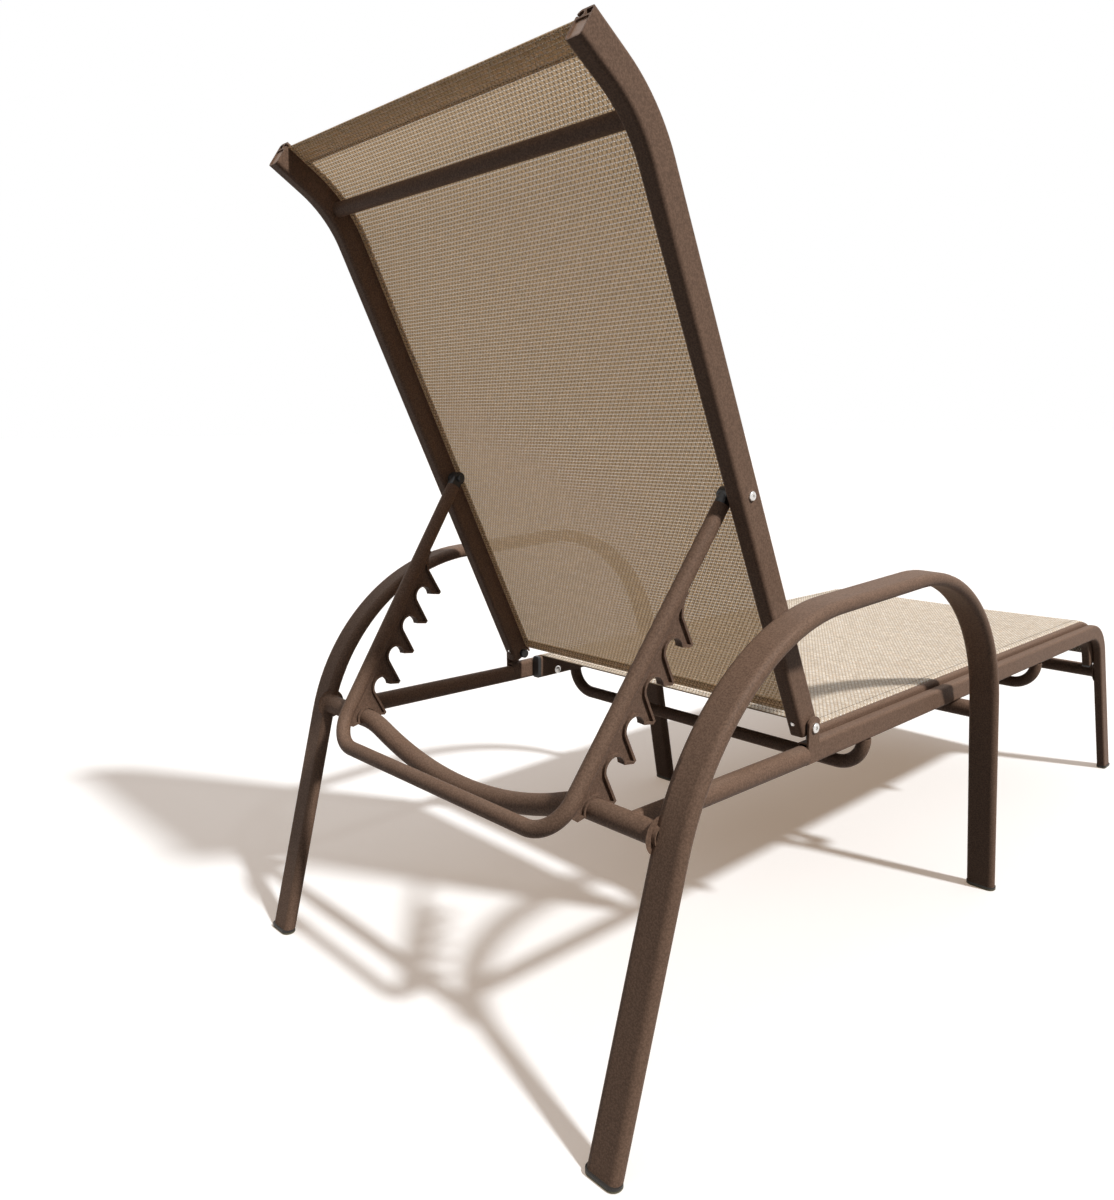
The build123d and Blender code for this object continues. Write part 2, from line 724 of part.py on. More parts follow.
def back_sling():
    path = back_path(0, BACK_SLING_START, BACK_SLING_TRIM)
    loop_x = UPRIGHT_X + bore_side()
    reach = loop_x - HEM_LOOP_D / 2 + SLING_T / 2
    section = Pos(0, -BORE_DEPTH) * Rectangle(2 * reach, SLING_T)
    for side in (-1, 1):
        section = section + hem_loop(side * loop_x, -BORE_DEPTH)
    return sweep(section_plane(path) * section, path=path)


def back_splines():
    path = back_path(0, BACK_SLING_START + SPLINE_TRIM, BACK_SLING_TRIM + SPLINE_TRIM)
    place = Pos(UPRIGHT_X + bore_side(), -BORE_DEPTH)
    return both_sides(sweep(section_plane(path) * (place * Circle(SPLINE_D / 2)), path=path))


def upright_top_caps():
    path = back_path(UPRIGHT_X, -UPRIGHT_TAIL, 0)
    along = path.tangent_at(1)
    top = path.position_at(1) - along * TOP_CAP_RECESS
    plane = Plane(origin=top, x_dir=(1, 0, 0), z_dir=along)
    return both_sides(extrude(plane * upright_cavity(FIT_GAP), -TOP_CAP_T))


def upright_tail_plugs():
    path = back_path(UPRIGHT_X, -UPRIGHT_TAIL, 0)
    plug = extrude(section_plane(path) * upright_cavity(FIT_GAP), TAIL_PLUG_LEN)
    hole = cross_rod(0, ARM_X, HINGE_Y, HINGE_Z, HINGE_BOLT_D + 2 * FIT_GAP)
    return both_sides(plug - hole - tail_screw_hole())


# Small rear-face screws at the foot of the uprights

def tail_screw_plane():
    rearward = direction(BACK_ANGLE - QUARTER_TURN)
    origin = HINGE + UP_BACK * TAIL_SCREW_ALONG + rearward * (UPRIGHT_DEPTH / 2)
    return Plane(origin=origin + Vector(UPRIGHT_X, 0, 0), x_dir=(1, 0, 0), z_dir=rearward)


def tail_screw_hole():
    return extrude(tail_screw_plane() * Circle(TAIL_SCREW_D / 2), -TAIL_SCREW_REACH - FIT_GAP)


def tail_screws():
    plane = tail_screw_plane()
    shank = extrude(plane * Circle(TAIL_SCREW_D / 2 - RUN_GAP), -TAIL_SCREW_REACH)
    head = extrude(plane * Circle(TAIL_SCREW_HEAD_D / 2), TAIL_SCREW_HEAD_T)
    head = fillet(head.edges().sort_by(Axis(plane.origin, plane.z_dir))[-1], TAIL_SCREW_HEAD_T / 2)
    return both_sides(shank + head)


# Hinge hardware

def hex_recess(face_x, toward, y, z, across, depth):
    plane = Plane(origin=(face_x, y, z), x_dir=(0, 1, 0), z_dir=(toward, 0, 0))
    return extrude(plane * RegularPolygon(across / 2, HEX_SIDES, major_radius=False), depth)


def hinge_nut_face():
    return UPRIGHT_INNER_X - SLEEVE_GAP


def hinge_bolts():
    tip = hinge_nut_face() - HINGE_NUT_T / 2
    head_face = RAIL_OUTER_X + HINGE_HEAD_T
    shank = cross_rod(tip, RAIL_OUTER_X, HINGE_Y, HINGE_Z, HINGE_BOLT_D - 2 * RUN_GAP)
    head = cross_rod(RAIL_OUTER_X, head_face, HINGE_Y, HINGE_Z, HINGE_HEAD_D)
    head = fillet(head.faces().sort_by(Axis.X)[-1].edges(), HINGE_HEAD_T / 2)
    recess = hex_recess(head_face, -1, HINGE_Y, HINGE_Z, HINGE_HEX, HINGE_HEX_DEPTH)
    return both_sides(shank + head - recess)


def hinge_nuts():
    face = hinge_nut_face()
    end = face - HINGE_NUT_T
    dome = cross_rod(end, face, HINGE_Y, HINGE_Z, HINGE_NUT_D)
    dome = fillet(dome.faces().sort_by(Axis.X)[0].edges(), HINGE_DOME_R)
    depth = HINGE_NUT_T / 2
    hole = cross_rod(face - depth, face, HINGE_Y, HINGE_Z, HINGE_BOLT_D - 2 * RUN_GAP)
    return both_sides(dome - hole)


def hinge_spacers():
    inner = UPRIGHT_OUTER_X + SLEEVE_GAP
    outer = RAIL_OUTER_X - EAR_T
    ring = cross_rod(inner, outer, HINGE_Y, HINGE_Z, HINGE_SPACER_D)
    hole = cross_rod(inner, outer, HINGE_Y, HINGE_Z, HINGE_BOLT_D)
    return both_sides(ring - hole)


# Support bail, racks and pivot hardware

def bail_point(x, along, off):
    return Vector(x, 0, 0) + PIVOT + DOWN_BAIL * along + OFF_BAIL * off


def bail_lean():
    return (BAIL_TOP_X - BAIL_CORNER_X) / BAIL_LEN


def bail_path():
    start_x = BAIL_TOP_X - bail_lean() * BAIL_TUBE_START
    points = [
        bail_point(start_x, BAIL_TUBE_START, 0),
        bail_point(BAIL_CORNER_X, BAIL_LEN, 0),
        bail_point(-BAIL_CORNER_X, BAIL_LEN, 0),
        bail_point(-start_x, BAIL_TUBE_START, 0),
    ]
    return bent_path(points, (BAIL_BEND_R, BAIL_BEND_R))


def support_bail():
    return ring_along(bail_path(), BAIL_D, BAIL_WALL)


def bail_plug():
    """Plastic end with a round head at the pivot and a spigot inside the tube."""
    inner = BAIL_TOP_X - BAIL_PLUG_W / 2
    outer = BAIL_TOP_X + BAIL_PLUG_W / 2
    head = cross_rod(inner, outer, PIVOT.Y, PIVOT.Z, BAIL_D)
    start = bail_point(BAIL_TOP_X, 0, 0)
    lean = bail_lean()
    neck_end = bail_point(BAIL_TOP_X - lean * BAIL_TUBE_START, BAIL_TUBE_START, 0)
    axis = (neck_end - start).normalized()
    plane = Plane(origin=start, x_dir=OFF_BAIL, z_dir=axis)
    length = (neck_end - start).length
    neck = extrude(plane * Circle(BAIL_D / 2), length)
    slab = Pos(BAIL_TOP_X, PIVOT.Y, PIVOT.Z) * Box(BAIL_PLUG_W, 2 * OVERRUN, 2 * OVERRUN)
    spigot_plane = Plane(origin=neck_end, x_dir=OFF_BAIL, z_dir=axis)
    spigot_face = spigot_plane * Circle(BAIL_D / 2 - BAIL_WALL - FIT_GAP)
    spigot = extrude(spigot_face, BAIL_PLUG_SPIGOT - length)
    body = head + (neck & slab) + spigot
    return body - cross_rod(0, ARM_X, PIVOT.Y, PIVOT.Z, PIVOT_BOLT_D + RUN_GAP)


def polar(centre, radius, angle):
    a = math.radians(angle)
    return (centre[0] + radius * math.cos(a), centre[1] + radius * math.sin(a))


def rack_outline():
    """Closed outline in local coordinates, x along the bail arm, y off its axis."""
    surface = -(BAIL_D / 2 - BAIL_WALL / 2)
    top = (FIRST_NOTCH - RACK_TOP_BACK, surface)
    toe = (FIRST_NOTCH - RACK_TOE_BACK, -RACK_TOE_DEPTH)
    point = (FIRST_NOTCH - RACK_ROOT_BACK, -ROOT_DEPTH)
    lines = [ThreePointArc(top, toe, point)]
    for index in range(NOTCH_COUNT):
        along = FIRST_NOTCH + index * NOTCH_PITCH
        centre = (along, -NOTCH_DEPTH)
        tip = (along - TIP_BACK, -TIP_DEPTH)
        shoulder = (along - TIP_SHOULDER_BACK, -TIP_SHOULDER_DEPTH)
        entry = polar(centre, NOTCH_R, FLANK_ANGLE)
        crown = polar(centre, NOTCH_R, CROWN_ANGLE)
        leave = polar(centre, NOTCH_R, LIP_ANGLE)
        lines.append(Line(point, tip))
        lines.append(Line(tip, shoulder))
        lines.append(Line(shoulder, entry))
        lines.append(ThreePointArc(entry, crown, leave))
        point = leave
    end = (FIRST_NOTCH + (NOTCH_COUNT - 1) * NOTCH_PITCH + RACK_END_PAST, -RACK_END_DEPTH)
    close = (end[0], surface)
    lines.append(Line(point, end))
    lines.append(Line(end, close))
    lines.append(Line(close, top))
    return make_face(Wire(lines))


def rack_plane():
    """Plane through the left bail arm with local x down the arm."""
    start = bail_point(BAIL_TOP_X, 0, 0)
    down = (bail_point(BAIL_CORNER_X, BAIL_LEN, 0) - start).normalized()
    return Plane(origin=start, x_dir=down, z_dir=down.cross(OFF_BAIL))


def rack():
    """Die-cast rack: full-width rim round a thin recessed web, with a saddle on the tube."""
    face = rack_outline()
    blank = extrude(face, RACK_W / 2, both=True)
    pockets = offset(face, amount=-RACK_RIM)
    recess = extrude(Pos(0, 0, RACK_WEB / 2) * pockets, RACK_W / 2)
    blank = blank - recess - mirror(recess, about=Plane.XY)
    blank = blank + rack_saddle()
    return rack_plane() * blank - rod_along(bail_path(), BAIL_D)


def rack_saddle():
    start = FIRST_NOTCH - RACK_TOP_BACK
    length = (NOTCH_COUNT - 1) * NOTCH_PITCH + RACK_TOP_BACK + RACK_END_PAST
    ring = Circle(BAIL_D / 2 + SADDLE_T)
    half = Pos(-BAIL_D / 2, 0) * Rectangle(BAIL_D, SADDLE_W)
    return extrude((Plane.YZ * (ring & half)).moved(Location((start, 0, 0))), length)


def pivot_bolts():
    tip = BAIL_TOP_X - BAIL_PLUG_W / 2 - SLEEVE_GAP - PIVOT_NUT_T / 2
    outer = UPRIGHT_OUTER_X
    head_face = outer + PIVOT_HEAD_T
    shank = cross_rod(tip, outer, PIVOT.Y, PIVOT.Z, PIVOT_BOLT_D - 2 * RUN_GAP)
    head = cross_rod(outer, head_face, PIVOT.Y, PIVOT.Z, PIVOT_HEAD_D)
    head = fillet(head.faces().sort_by(Axis.X)[-1].edges(), PIVOT_HEAD_T / 2)
    recess = hex_recess(head_face, -1, PIVOT.Y, PIVOT.Z, PIVOT_HEX, PIVOT_HEX_DEPTH)
    return both_sides(shank + head - recess)


def pivot_nuts():
    face = BAIL_TOP_X - BAIL_PLUG_W / 2 - SLEEVE_GAP
    nut = cross_rod(face - PIVOT_NUT_T, face, PIVOT.Y, PIVOT.Z, PIVOT_NUT_D)
    nut = fillet(nut.faces().sort_by(Axis.X)[0].edges(), PIVOT_NUT_T * NUT_ROUND_SHARE)
    depth = PIVOT_NUT_T / 2
    hole = cross_rod(face - depth, face, PIVOT.Y, PIVOT.Z, PIVOT_BOLT_D - 2 * RUN_GAP)
    return both_sides(nut - hole)


def pivot_spacers():
    inner = BAIL_TOP_X + BAIL_PLUG_W / 2 + SLEEVE_GAP
    ring = cross_rod(inner, UPRIGHT_INNER_X, PIVOT.Y, PIVOT.Z, PIVOT_SPACER_D)
    hole = cross_rod(inner, UPRIGHT_INNER_X, PIVOT.Y, PIVOT.Z, PIVOT_BOLT_D)
    return both_sides(ring - hole)


def write(nodes):
    os.makedirs("parts", exist_ok=True)
    for name, shape in nodes.items():
        export_step(shape, f"parts/{name}.step")


def paired(name, left):
    return {f"{name}_left": left, f"{name}_right": mirrored(left)}


def build():
    envelope = arm_envelope()
    arms = envelope + mirrored(envelope)
    nodes = {}
    nodes.update(paired("arm_frame", arm_frame()))
    nodes.update(paired("side_rail", side_rail()))
    nodes.update(paired("hinge_plate", hinge_plate()))
    nodes.update(paired("seat_sling_rail", seat_sling_rail()))
    nodes.update(paired("rear_rail", rear_rail()))
    nodes.update(paired("back_upright", back_upright()))
    nodes.update(paired("rack", rack()))
    nodes["rear_crossbar"] = rear_crossbar(arms)
    nodes["middle_crossbar"] = middle_crossbar(arms)
    nodes["foot_crossbar"] = foot_crossbar()
    nodes["seat_brace_rear"] = seat_brace(BRACE_REAR_Y)
    nodes["seat_brace_front"] = seat_brace(BRACE_FRONT_Y)
    nodes["rear_leg_glides"] = both_sides(rear_pad())
    nodes["middle_leg_glides"] = both_sides(middle_pad())
    nodes["foot_leg_glides"] = both_sides(foot_pad())
    nodes["sling_rail_end_caps"] = sling_rail_caps()
    nodes["seat_sling"] = seat_sling()
    nodes["seat_sling_splines"] = seat_splines()
    nodes["rail_screws"] = rail_screws()
    nodes["rail_washers"] = rail_washers()
    nodes["hinge_bolts"] = hinge_bolts()
    nodes["hinge_nuts"] = hinge_nuts()
    nodes["hinge_spacers"] = hinge_spacers()
    nodes["head_crossbar"] = head_crossbar()
    nodes["back_sling"] = back_sling()
    nodes["back_sling_splines"] = back_splines()
    nodes["upright_top_caps"] = upright_top_caps()
    nodes["upright_tail_plugs"] = upright_tail_plugs()
    nodes["upright_tail_screws"] = tail_screws()
    nodes["support_bail"] = support_bail()
    nodes["bail_end_plugs"] = both_sides(bail_plug())
    nodes["support_pivot_bolts"] = pivot_bolts()
    nodes["support_pivot_nuts"] = pivot_nuts()
    nodes["support_pivot_spacers"] = pivot_spacers()
    write(nodes)


build()
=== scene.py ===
import math
from types import SimpleNamespace

import bmesh
import bpy
import numpy as np
from mathutils import Euler, Matrix, Vector


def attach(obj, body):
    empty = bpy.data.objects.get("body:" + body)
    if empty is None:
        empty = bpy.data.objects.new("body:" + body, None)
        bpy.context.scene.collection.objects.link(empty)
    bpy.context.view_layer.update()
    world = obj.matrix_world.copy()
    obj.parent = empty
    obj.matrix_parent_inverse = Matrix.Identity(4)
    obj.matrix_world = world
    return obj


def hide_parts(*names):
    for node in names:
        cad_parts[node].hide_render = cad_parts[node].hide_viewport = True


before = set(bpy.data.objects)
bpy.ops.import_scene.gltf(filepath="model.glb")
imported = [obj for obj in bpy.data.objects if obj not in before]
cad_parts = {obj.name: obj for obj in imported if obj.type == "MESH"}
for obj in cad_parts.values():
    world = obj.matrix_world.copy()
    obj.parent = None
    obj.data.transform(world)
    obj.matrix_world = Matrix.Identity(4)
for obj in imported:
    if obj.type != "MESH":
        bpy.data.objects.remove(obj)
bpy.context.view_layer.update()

bl_info = {
    "name": "Sling Chaise Lounge",
    "version": (1, 0, 0),
    "blender": (4, 5, 0),
    "location": "3D View > Sidebar > Chaise",
    "description": "Woven slings, finishes and studio for a chaise lounge",
    "category": "Object",
}

MM = 0.001
METRE_IN_MM = 1000.0

# Lines of the two slings in the side plane, metres, as the rails that hold them run
HINGE = (0.3795, 0.3542)
BACK_ANGLE = math.radians(65.0)
HEAD_ROLL = math.radians(31.8)
UPRIGHT_CORNER = 0.7257
HEAD_LENGTH = 0.098
HEAD_BEND = 0.170
BACK_TRIM = 0.003
BACK_START = 0.006
RAIL_HEIGHT = 0.321
RAIL_SLOPE = 0.0058
SLING_RAIL_LIFT = 0.00375
SEAT_START = 0.3385
SEAT_LOW = 0.250
SEAT_BEND = 0.085
LEG_RAKE = math.radians(18.7)
FOOT_LEG = -0.7825
LEG_SETBACK = 0.011
SEAT_LOOP = (0.263, 0.01225)
BACK_LOOP = (0.26505, -0.0115)
LOOP_RADIUS = 0.00278
LOOP_TURN = 1.75 * math.pi
SEAT_SHEET_LIFT = 0.01915

# Hems and seams, metres inward from the splines, from a hem's edge or from its fold
SEAT_HEM_INSET = 0.0085
SEAT_CROSS_SEAM_INSET = 0.013
SEAT_SIDE_SEAM_INSET = 0.0105
SEAT_SEAM_START = 0.002
BACK_HEM_INSET = 0.0062
BACK_CROSS_SEAM_INSET = 2 * MM
BACK_SEAM_START = 0.004
SEAM_TO_FOLD = 3 * MM

# Columns of faces across a hem, a stitch's share of the pitch, and how deep the thread lies
HEM_COLUMNS = 24
SIDE_HEM_COLUMNS = 3
STITCH_SHARE = 0.8
THREAD_SINK = 0.1

# One cell of the weave, as shares of its width and rise
FLOAT_HALF_WIDTH = 0.43
FLOAT_HALF_RISE = 0.48
TIE_HALF_WIDTH = 0.16
TIE_HALF_RISE = 0.42
PINHOLE_PLACE = 0.31
PINHOLE_HALF_WIDTH = 0.17
PINHOLE_HALF_RISE = 0.21

# Screws: the faces of a head, and the turn from one screw to the next
SCREW_SECTORS = 48
SCREW_RINGS = 14
FIRST_TWIST = 0.35
NEXT_TWIST = 1.3
LEAST_HEAD = 0.6 * MM

# Studio
FLOOR_REACH = 60.0
CAMERA_REACH = 200.0
SENSOR_WIDTH = 36.0
TOWARD_KEY = (-0.885, -0.045, 1.0)
KEY_COLOUR = (1.0, 0.985, 0.96)
TOP_SPREAD = math.radians(100.0)
FILL_COLOUR = (1.0, 0.97, 0.94)
WHITE = (1.0, 1.0, 1.0)

# CAD nodes by finish
SIDES = ("left", "right")
METAL_PAIRS = (
    "arm_frame", "side_rail", "hinge_plate", "seat_sling_rail", "rear_rail", "back_upright",
)
METAL_NODES = (
    *(name + "_" + side for name in METAL_PAIRS for side in SIDES),
    "rear_crossbar", "middle_crossbar", "foot_crossbar", "seat_brace_rear", "seat_brace_front",
    "head_crossbar", "support_bail",
)
CAST_NODES = ("rack_left", "rack_right")
GLIDE_NODES = ("rear_leg_glides", "middle_leg_glides", "foot_leg_glides")
BLACK_NODES = (
    "sling_rail_end_caps", "hinge_nuts", "hinge_spacers", "bail_end_plugs",
    "support_pivot_nuts", "support_pivot_spacers",
)
BROWN_NODES = ("upright_top_caps", "upright_tail_plugs")
SPLINE_NODES = ("seat_sling_splines", "back_sling_splines")
STEEL_NODES = ("hinge_bolts", "support_pivot_bolts", "rail_washers")


# Shader formulas

def term_maths(operation, turned=False):
    """A method of Term that adds one maths node; turned puts the term itself last."""
    def method(self, *others):
        terms = (*others, self) if turned else (self, *others)
        return self.wiring.maths(operation, *terms)
    return method


class Term:
    """A socket that takes part in a shader formula with numbers and other terms."""

    def __init__(self, wiring, socket):
        self.wiring = wiring
        self.socket = socket

    __add__ = __radd__ = term_maths("ADD")
    __sub__ = term_maths("SUBTRACT")
    __rsub__ = term_maths("SUBTRACT", turned=True)
    __mul__ = __rmul__ = term_maths("MULTIPLY")
    __truediv__ = term_maths("DIVIDE")
    __pow__ = term_maths("POWER")
    __mod__ = term_maths("FLOORED_MODULO")
    __gt__ = term_maths("GREATER_THAN")
    __abs__ = term_maths("ABSOLUTE")
    floor = term_maths("FLOOR")
    fract = term_maths("FRACT")
    sin = term_maths("SINE")
    most = term_maths("MAXIMUM")

    def held(self):
        """Limited to 0 to 1."""
        return self.wiring.maths("ADD", self, 0, clamp=True)

    def smooth(self, low, high):
        """0 below low and 1 above high, with a smooth step between."""
        links = {"Value": self, "From Min": low, "From Max": high}
        settings = {"interpolation_type": "SMOOTHSTEP"}
        return self.wiring.term("ShaderNodeMapRange", "Result", settings, links=links)


class NodeBench:
    """Adds nodes to a tree."""

    def __init__(self, tree):
        self.tree = tree

    def node(self, kind, settings=None, values=None, links=None):
        """A new node. Links may be sockets, shader terms or plain values."""
        new = self.tree.nodes.new(kind)
        for key, value in (settings or {}).items():
            setattr(new, key, value)
        for key, value in (values or {}).items():
            new.inputs[key].default_value = value
        for key, value in (links or {}).items():
            self.join(value, new.inputs[key])
        return new

    def join(self, value, socket):
        if isinstance(value, Term):
            value = value.socket
        if isinstance(value, bpy.types.NodeSocket):
            self.tree.links.new(value, socket)
        else:
            socket.default_value = value


class Wiring(NodeBench):
    """Adds nodes to the tree of a material or world."""

    def __init__(self, tree, owner):
        super().__init__(tree)
        self.owner = owner

    def term(self, kind, output=0, settings=None, values=None, links=None):
        """One output of a new node."""
        return Term(self, self.node(kind, settings, values, links).outputs[output])

    def maths(self, operation, *terms, clamp=False):
        settings = {"operation": operation, "use_clamp": clamp}
        return self.term("ShaderNodeMath", 0, settings, links=dict(enumerate(terms)))

    def parts(self, vector):
        made = self.node("ShaderNodeSeparateXYZ", links={0: vector})
        return [Term(self, out) for out in made.outputs]

    def vector(self, x, y, z):
        return self.term("ShaderNodeCombineXYZ", links={0: x, 1: y, 2: z})

    def place(self):
        return self.term("ShaderNodeTexCoord", "Object")

    def cloth_place(self):
        return self.term("ShaderNodeUVMap", "UV", {"uv_map": "Cloth"})

    def facing_up(self):
        return self.parts(self.term("ShaderNodeNewGeometry", "Normal"))[2].most(0)

    def noise(self, vector, scale, detail=2.0, rough=0.5):
        values = {"Scale": scale, "Detail": detail, "Roughness": rough}
        return self.term("ShaderNodeTexNoise", "Fac", None, values, {"Vector": vector})

    def cell_noise(self, vector):
        settings = {"noise_dimensions": "2D"}
        return self.term("ShaderNodeTexWhiteNoise", "Value", settings, links={"Vector": vector})

    def cells(self, vector, scale):
        values = {"Scale": scale}
        return self.term("ShaderNodeTexVoronoi", "Distance", None, values, {"Vector": vector})

    def blend(self, share, first, second):
        """Mixes two colours, given as sockets or as red, green, blue."""
        made = self.node("ShaderNodeMix", {"data_type": "RGBA"})
        slots = [s for s in made.inputs if s.name in ("A", "B") and s.type == "RGBA"]
        self.join(share, made.inputs[0])
        for slot, value in zip(slots, (first, second)):
            self.join(solid(value), slot)
        return Term(self, [s for s in made.outputs if s.type == "RGBA"][0])

    def shade(self, colour, share):
        """Colour times a share; numbers alone are worked out here."""
        if not isinstance(share, Term) and not isinstance(colour, Term):
            return tuple(value * share for value in tuple(colour)[:3])
        links = {0: as_vector(colour), "Scale": share}
        return self.term("ShaderNodeVectorMath", 0, {"operation": "SCALE"}, links=links)

    def bump(self, height, distance, strength=1.0):
        values = {"Strength": strength, "Distance": distance}
        return self.term("ShaderNodeBump", "Normal", None, values, {"Height": height})

    def in_the_picture(self):
        """1 where a camera, glossy or transmission ray looks, 0 for light on the object."""
        path = self.node("ShaderNodeLightPath").outputs
        seen = Term(self, path["Is Camera Ray"]).most(path["Is Glossy Ray"])
        return seen.most(path["Is Transmission Ray"])

    def mixed(self, share, first, second):
        links = {0: share, 1: first.outputs[0], 2: second.outputs[0]}
        return self.node("ShaderNodeMixShader", links=links)

    def principled(self, values, links):
        return self.node("ShaderNodeBsdfPrincipled", values=values, links=links)

    def end(self, shader, kind="Material"):
        """Links the last shader and hands back the material or world."""
        self.node("ShaderNodeOutput" + kind, links={"Surface": shader.outputs[0]})
        return self.owner

    def surface(self, values, colour, rough, normal):
        """Ends the tree with one coat; values are the coat's plain numbers."""
        links = {"Base Color": colour, "Roughness": rough, "Normal": normal}
        return self.end(self.principled(values, links))


def solid(value):
    """Red, green, blue as the four numbers of a colour socket."""
    if isinstance(value, (Term, bpy.types.NodeSocket)):
        return value
    return (*tuple(value)[:3], 1.0)


def as_vector(value):
    if isinstance(value, (Term, bpy.types.NodeSocket)):
        return value
    return tuple(value)[:3]


def new_finish(name):
    """Wiring for a new, empty material."""
    finish = bpy.data.materials.new(name)
    finish.use_nodes = True
    finish.node_tree.nodes.clear()
    return Wiring(finish.node_tree, finish)


# Finishes

def powder_coat(name, colour, grain_size, grain_depth, sheen):
    """Satin powder coat with a speckled grain, soft mottling and dust on upward faces."""
    w = new_finish(name)
    where = w.place()
    cloud = w.noise(where, 7.0, 3.0)
    grain = w.noise(where, 1 / grain_size, 2.0, 0.6)
    speck = w.noise(where, 0.45 / grain_size, 3.0, 0.65).smooth(0.36, 0.66)
    pores = w.cells(where, 0.6 / grain_size)
    flow = w.noise(where, 60.0, 2.0)
    tone = 0.66 + 0.16 * cloud + 0.14 * grain + 0.50 * speck + 0.06 * flow
    upward = w.facing_up().smooth(0.55, 1.0)
    dusty = (upward * cloud.smooth(0.35, 0.75) * (0.6 + 0.4 * grain)) * 0.12
    tinted = w.blend(dusty, w.shade(colour, tone), (0.36, 0.30, 0.25))
    rough = (sheen + 0.14 * (cloud - 0.5) + 0.12 * (grain - 0.5) + 0.4 * dusty).held()
    height = grain + 0.8 * speck + 0.5 * (1 - pores.smooth(0.0, 0.5)) + 0.35 * flow
    normal = w.bump(height, grain_depth, 0.5)
    return w.surface({"Specular IOR Level": 0.12}, tinted, rough, normal)


def moulded_plastic(name, colour, sheen):
    """Moulded plastic with a spark-eroded skin, faint flow marks and rubbed high spots."""
    w = new_finish(name)
    where = w.place()
    skin = w.noise(where, 1500.0, 2.0)
    flow = w.noise(where, 45.0, 3.0)
    rub = w.noise(where, 220.0, 2.0).smooth(0.56, 0.72)
    tone = 0.85 + 0.2 * flow + 0.12 * skin
    rubbed = tuple(0.06 + c for c in tuple(colour)[:3])
    tinted = w.blend(rub * 0.22, w.shade(colour, tone), rubbed)
    rough = (sheen + 0.16 * (flow - 0.5) + 0.12 * rub).held()
    normal = w.bump(skin + 0.4 * flow, 0.00006, 0.5)
    return w.surface({"Specular IOR Level": 0.5}, tinted, rough, normal)


def glide_plastic(name, rim, sole):
    """Floor pad with a paler moulded sole that has picked up grit."""
    w = new_finish(name)
    where = w.place()
    up = w.parts(where)[2]
    grit = w.noise(where, 900.0, 3.0)
    flow = w.noise(where, 70.0, 3.0)
    share = 1 - (up + 0.0008 * (flow - 0.5)).smooth(0.0026, 0.0034)
    tinted = w.blend(share, w.shade(rim, 0.85 + 0.3 * flow), w.shade(sole, 0.7 + 0.6 * grit))
    rough = (0.5 + 0.25 * share * grit + 0.1 * flow).held()
    return w.surface({"Specular IOR Level": 0.4}, tinted, rough, w.bump(grit, 0.0001, 0.5))


def bright_steel(name, colour):
    """Zinc-bright steel with fine turned lines and small dull spots."""
    w = new_finish(name)
    where = w.place()
    x, y, z = w.parts(where)
    lines = w.noise(w.vector(x * 8000.0, y * 900.0, z * 900.0), 1.0, 2.0)
    spots = w.noise(where, 420.0, 3.0).smooth(0.5, 0.8)
    tinted = w.blend(spots * 0.35, w.shade(colour, 0.9 + 0.18 * lines), (0.38, 0.35, 0.31))
    rough = (0.2 + 0.14 * lines + 0.25 * spots).held()
    return w.surface({"Metallic": 1.0}, tinted, rough, w.bump(lines, 0.00004, 0.35))


def weave_pattern(w, sizes):
    """Raised floats in staggered rows, ties between their ends, pinholes, and the yarns' drift."""
    u, v, _ = w.parts(w.cloth_place())
    across = u * METRE_IN_MM / sizes.weave_across
    along = v * METRE_IN_MM / sizes.weave_along
    row = along.floor()
    step = across + 0.5 * (row % 2)
    column = step.floor()
    cross = step.fract() - 0.5
    rise = along.fract() - 0.5
    line = w.cell_noise(w.vector(row, 3.0, 0.0))
    cell = w.cell_noise(w.vector(column, row, 0.0))
    drift = (w.noise(w.vector(u * 160.0, v * 40.0, 2.0), 1.0, 2.0) - 0.5) * 0.5
    middle = ((cross + drift) / FLOAT_HALF_WIDTH) ** 2
    floats = (1 - middle - (rise / FLOAT_HALF_RISE) ** 4).smooth(0.0, 0.9)
    ends = (abs(cross) - 0.5) / TIE_HALF_WIDTH
    ties = (1 - ends * ends - (rise / TIE_HALF_RISE) ** 2).smooth(0.0, 0.6)
    gap = (abs(rise) - 0.5) / PINHOLE_HALF_RISE
    side = (abs(cross) - PINHOLE_PLACE) / PINHOLE_HALF_WIDTH
    thread = ((along * 3.0).fract() - 0.5) * 2.0
    pick = w.noise(w.vector(u * 7.0, row * 0.731, 0.0), 1.0, 3.0, 0.6)
    slub = w.noise(w.vector(u * 30.0, row * 1.37, 4.0), 1.0, 2.0)
    end = w.noise(w.vector(column * 0.61, v * 7.0, 9.0), 1.0, 2.0)
    streaks = (pick - 0.5) * 0.7 + (slub - 0.5) * 0.4
    return SimpleNamespace(
        rise=rise, line=line, cell=cell, floats=floats, ties=ties,
        other=w.cell_noise(w.vector(column + 37.0, row + 11.0, 0.0)),
        holes=(1 - gap * gap - side * side).smooth(0.05, 0.7),
        ply=1 - thread * thread,
        streaks=streaks + (end - 0.5) * 0.25 + (line - 0.5) * 0.22,
        fibres=w.noise(w.vector(u * 420.0, v * 1100.0, 5.0), 1.0, 2.0, 0.6),
        cloud=w.noise(w.cloth_place(), 4.0, 3.0))


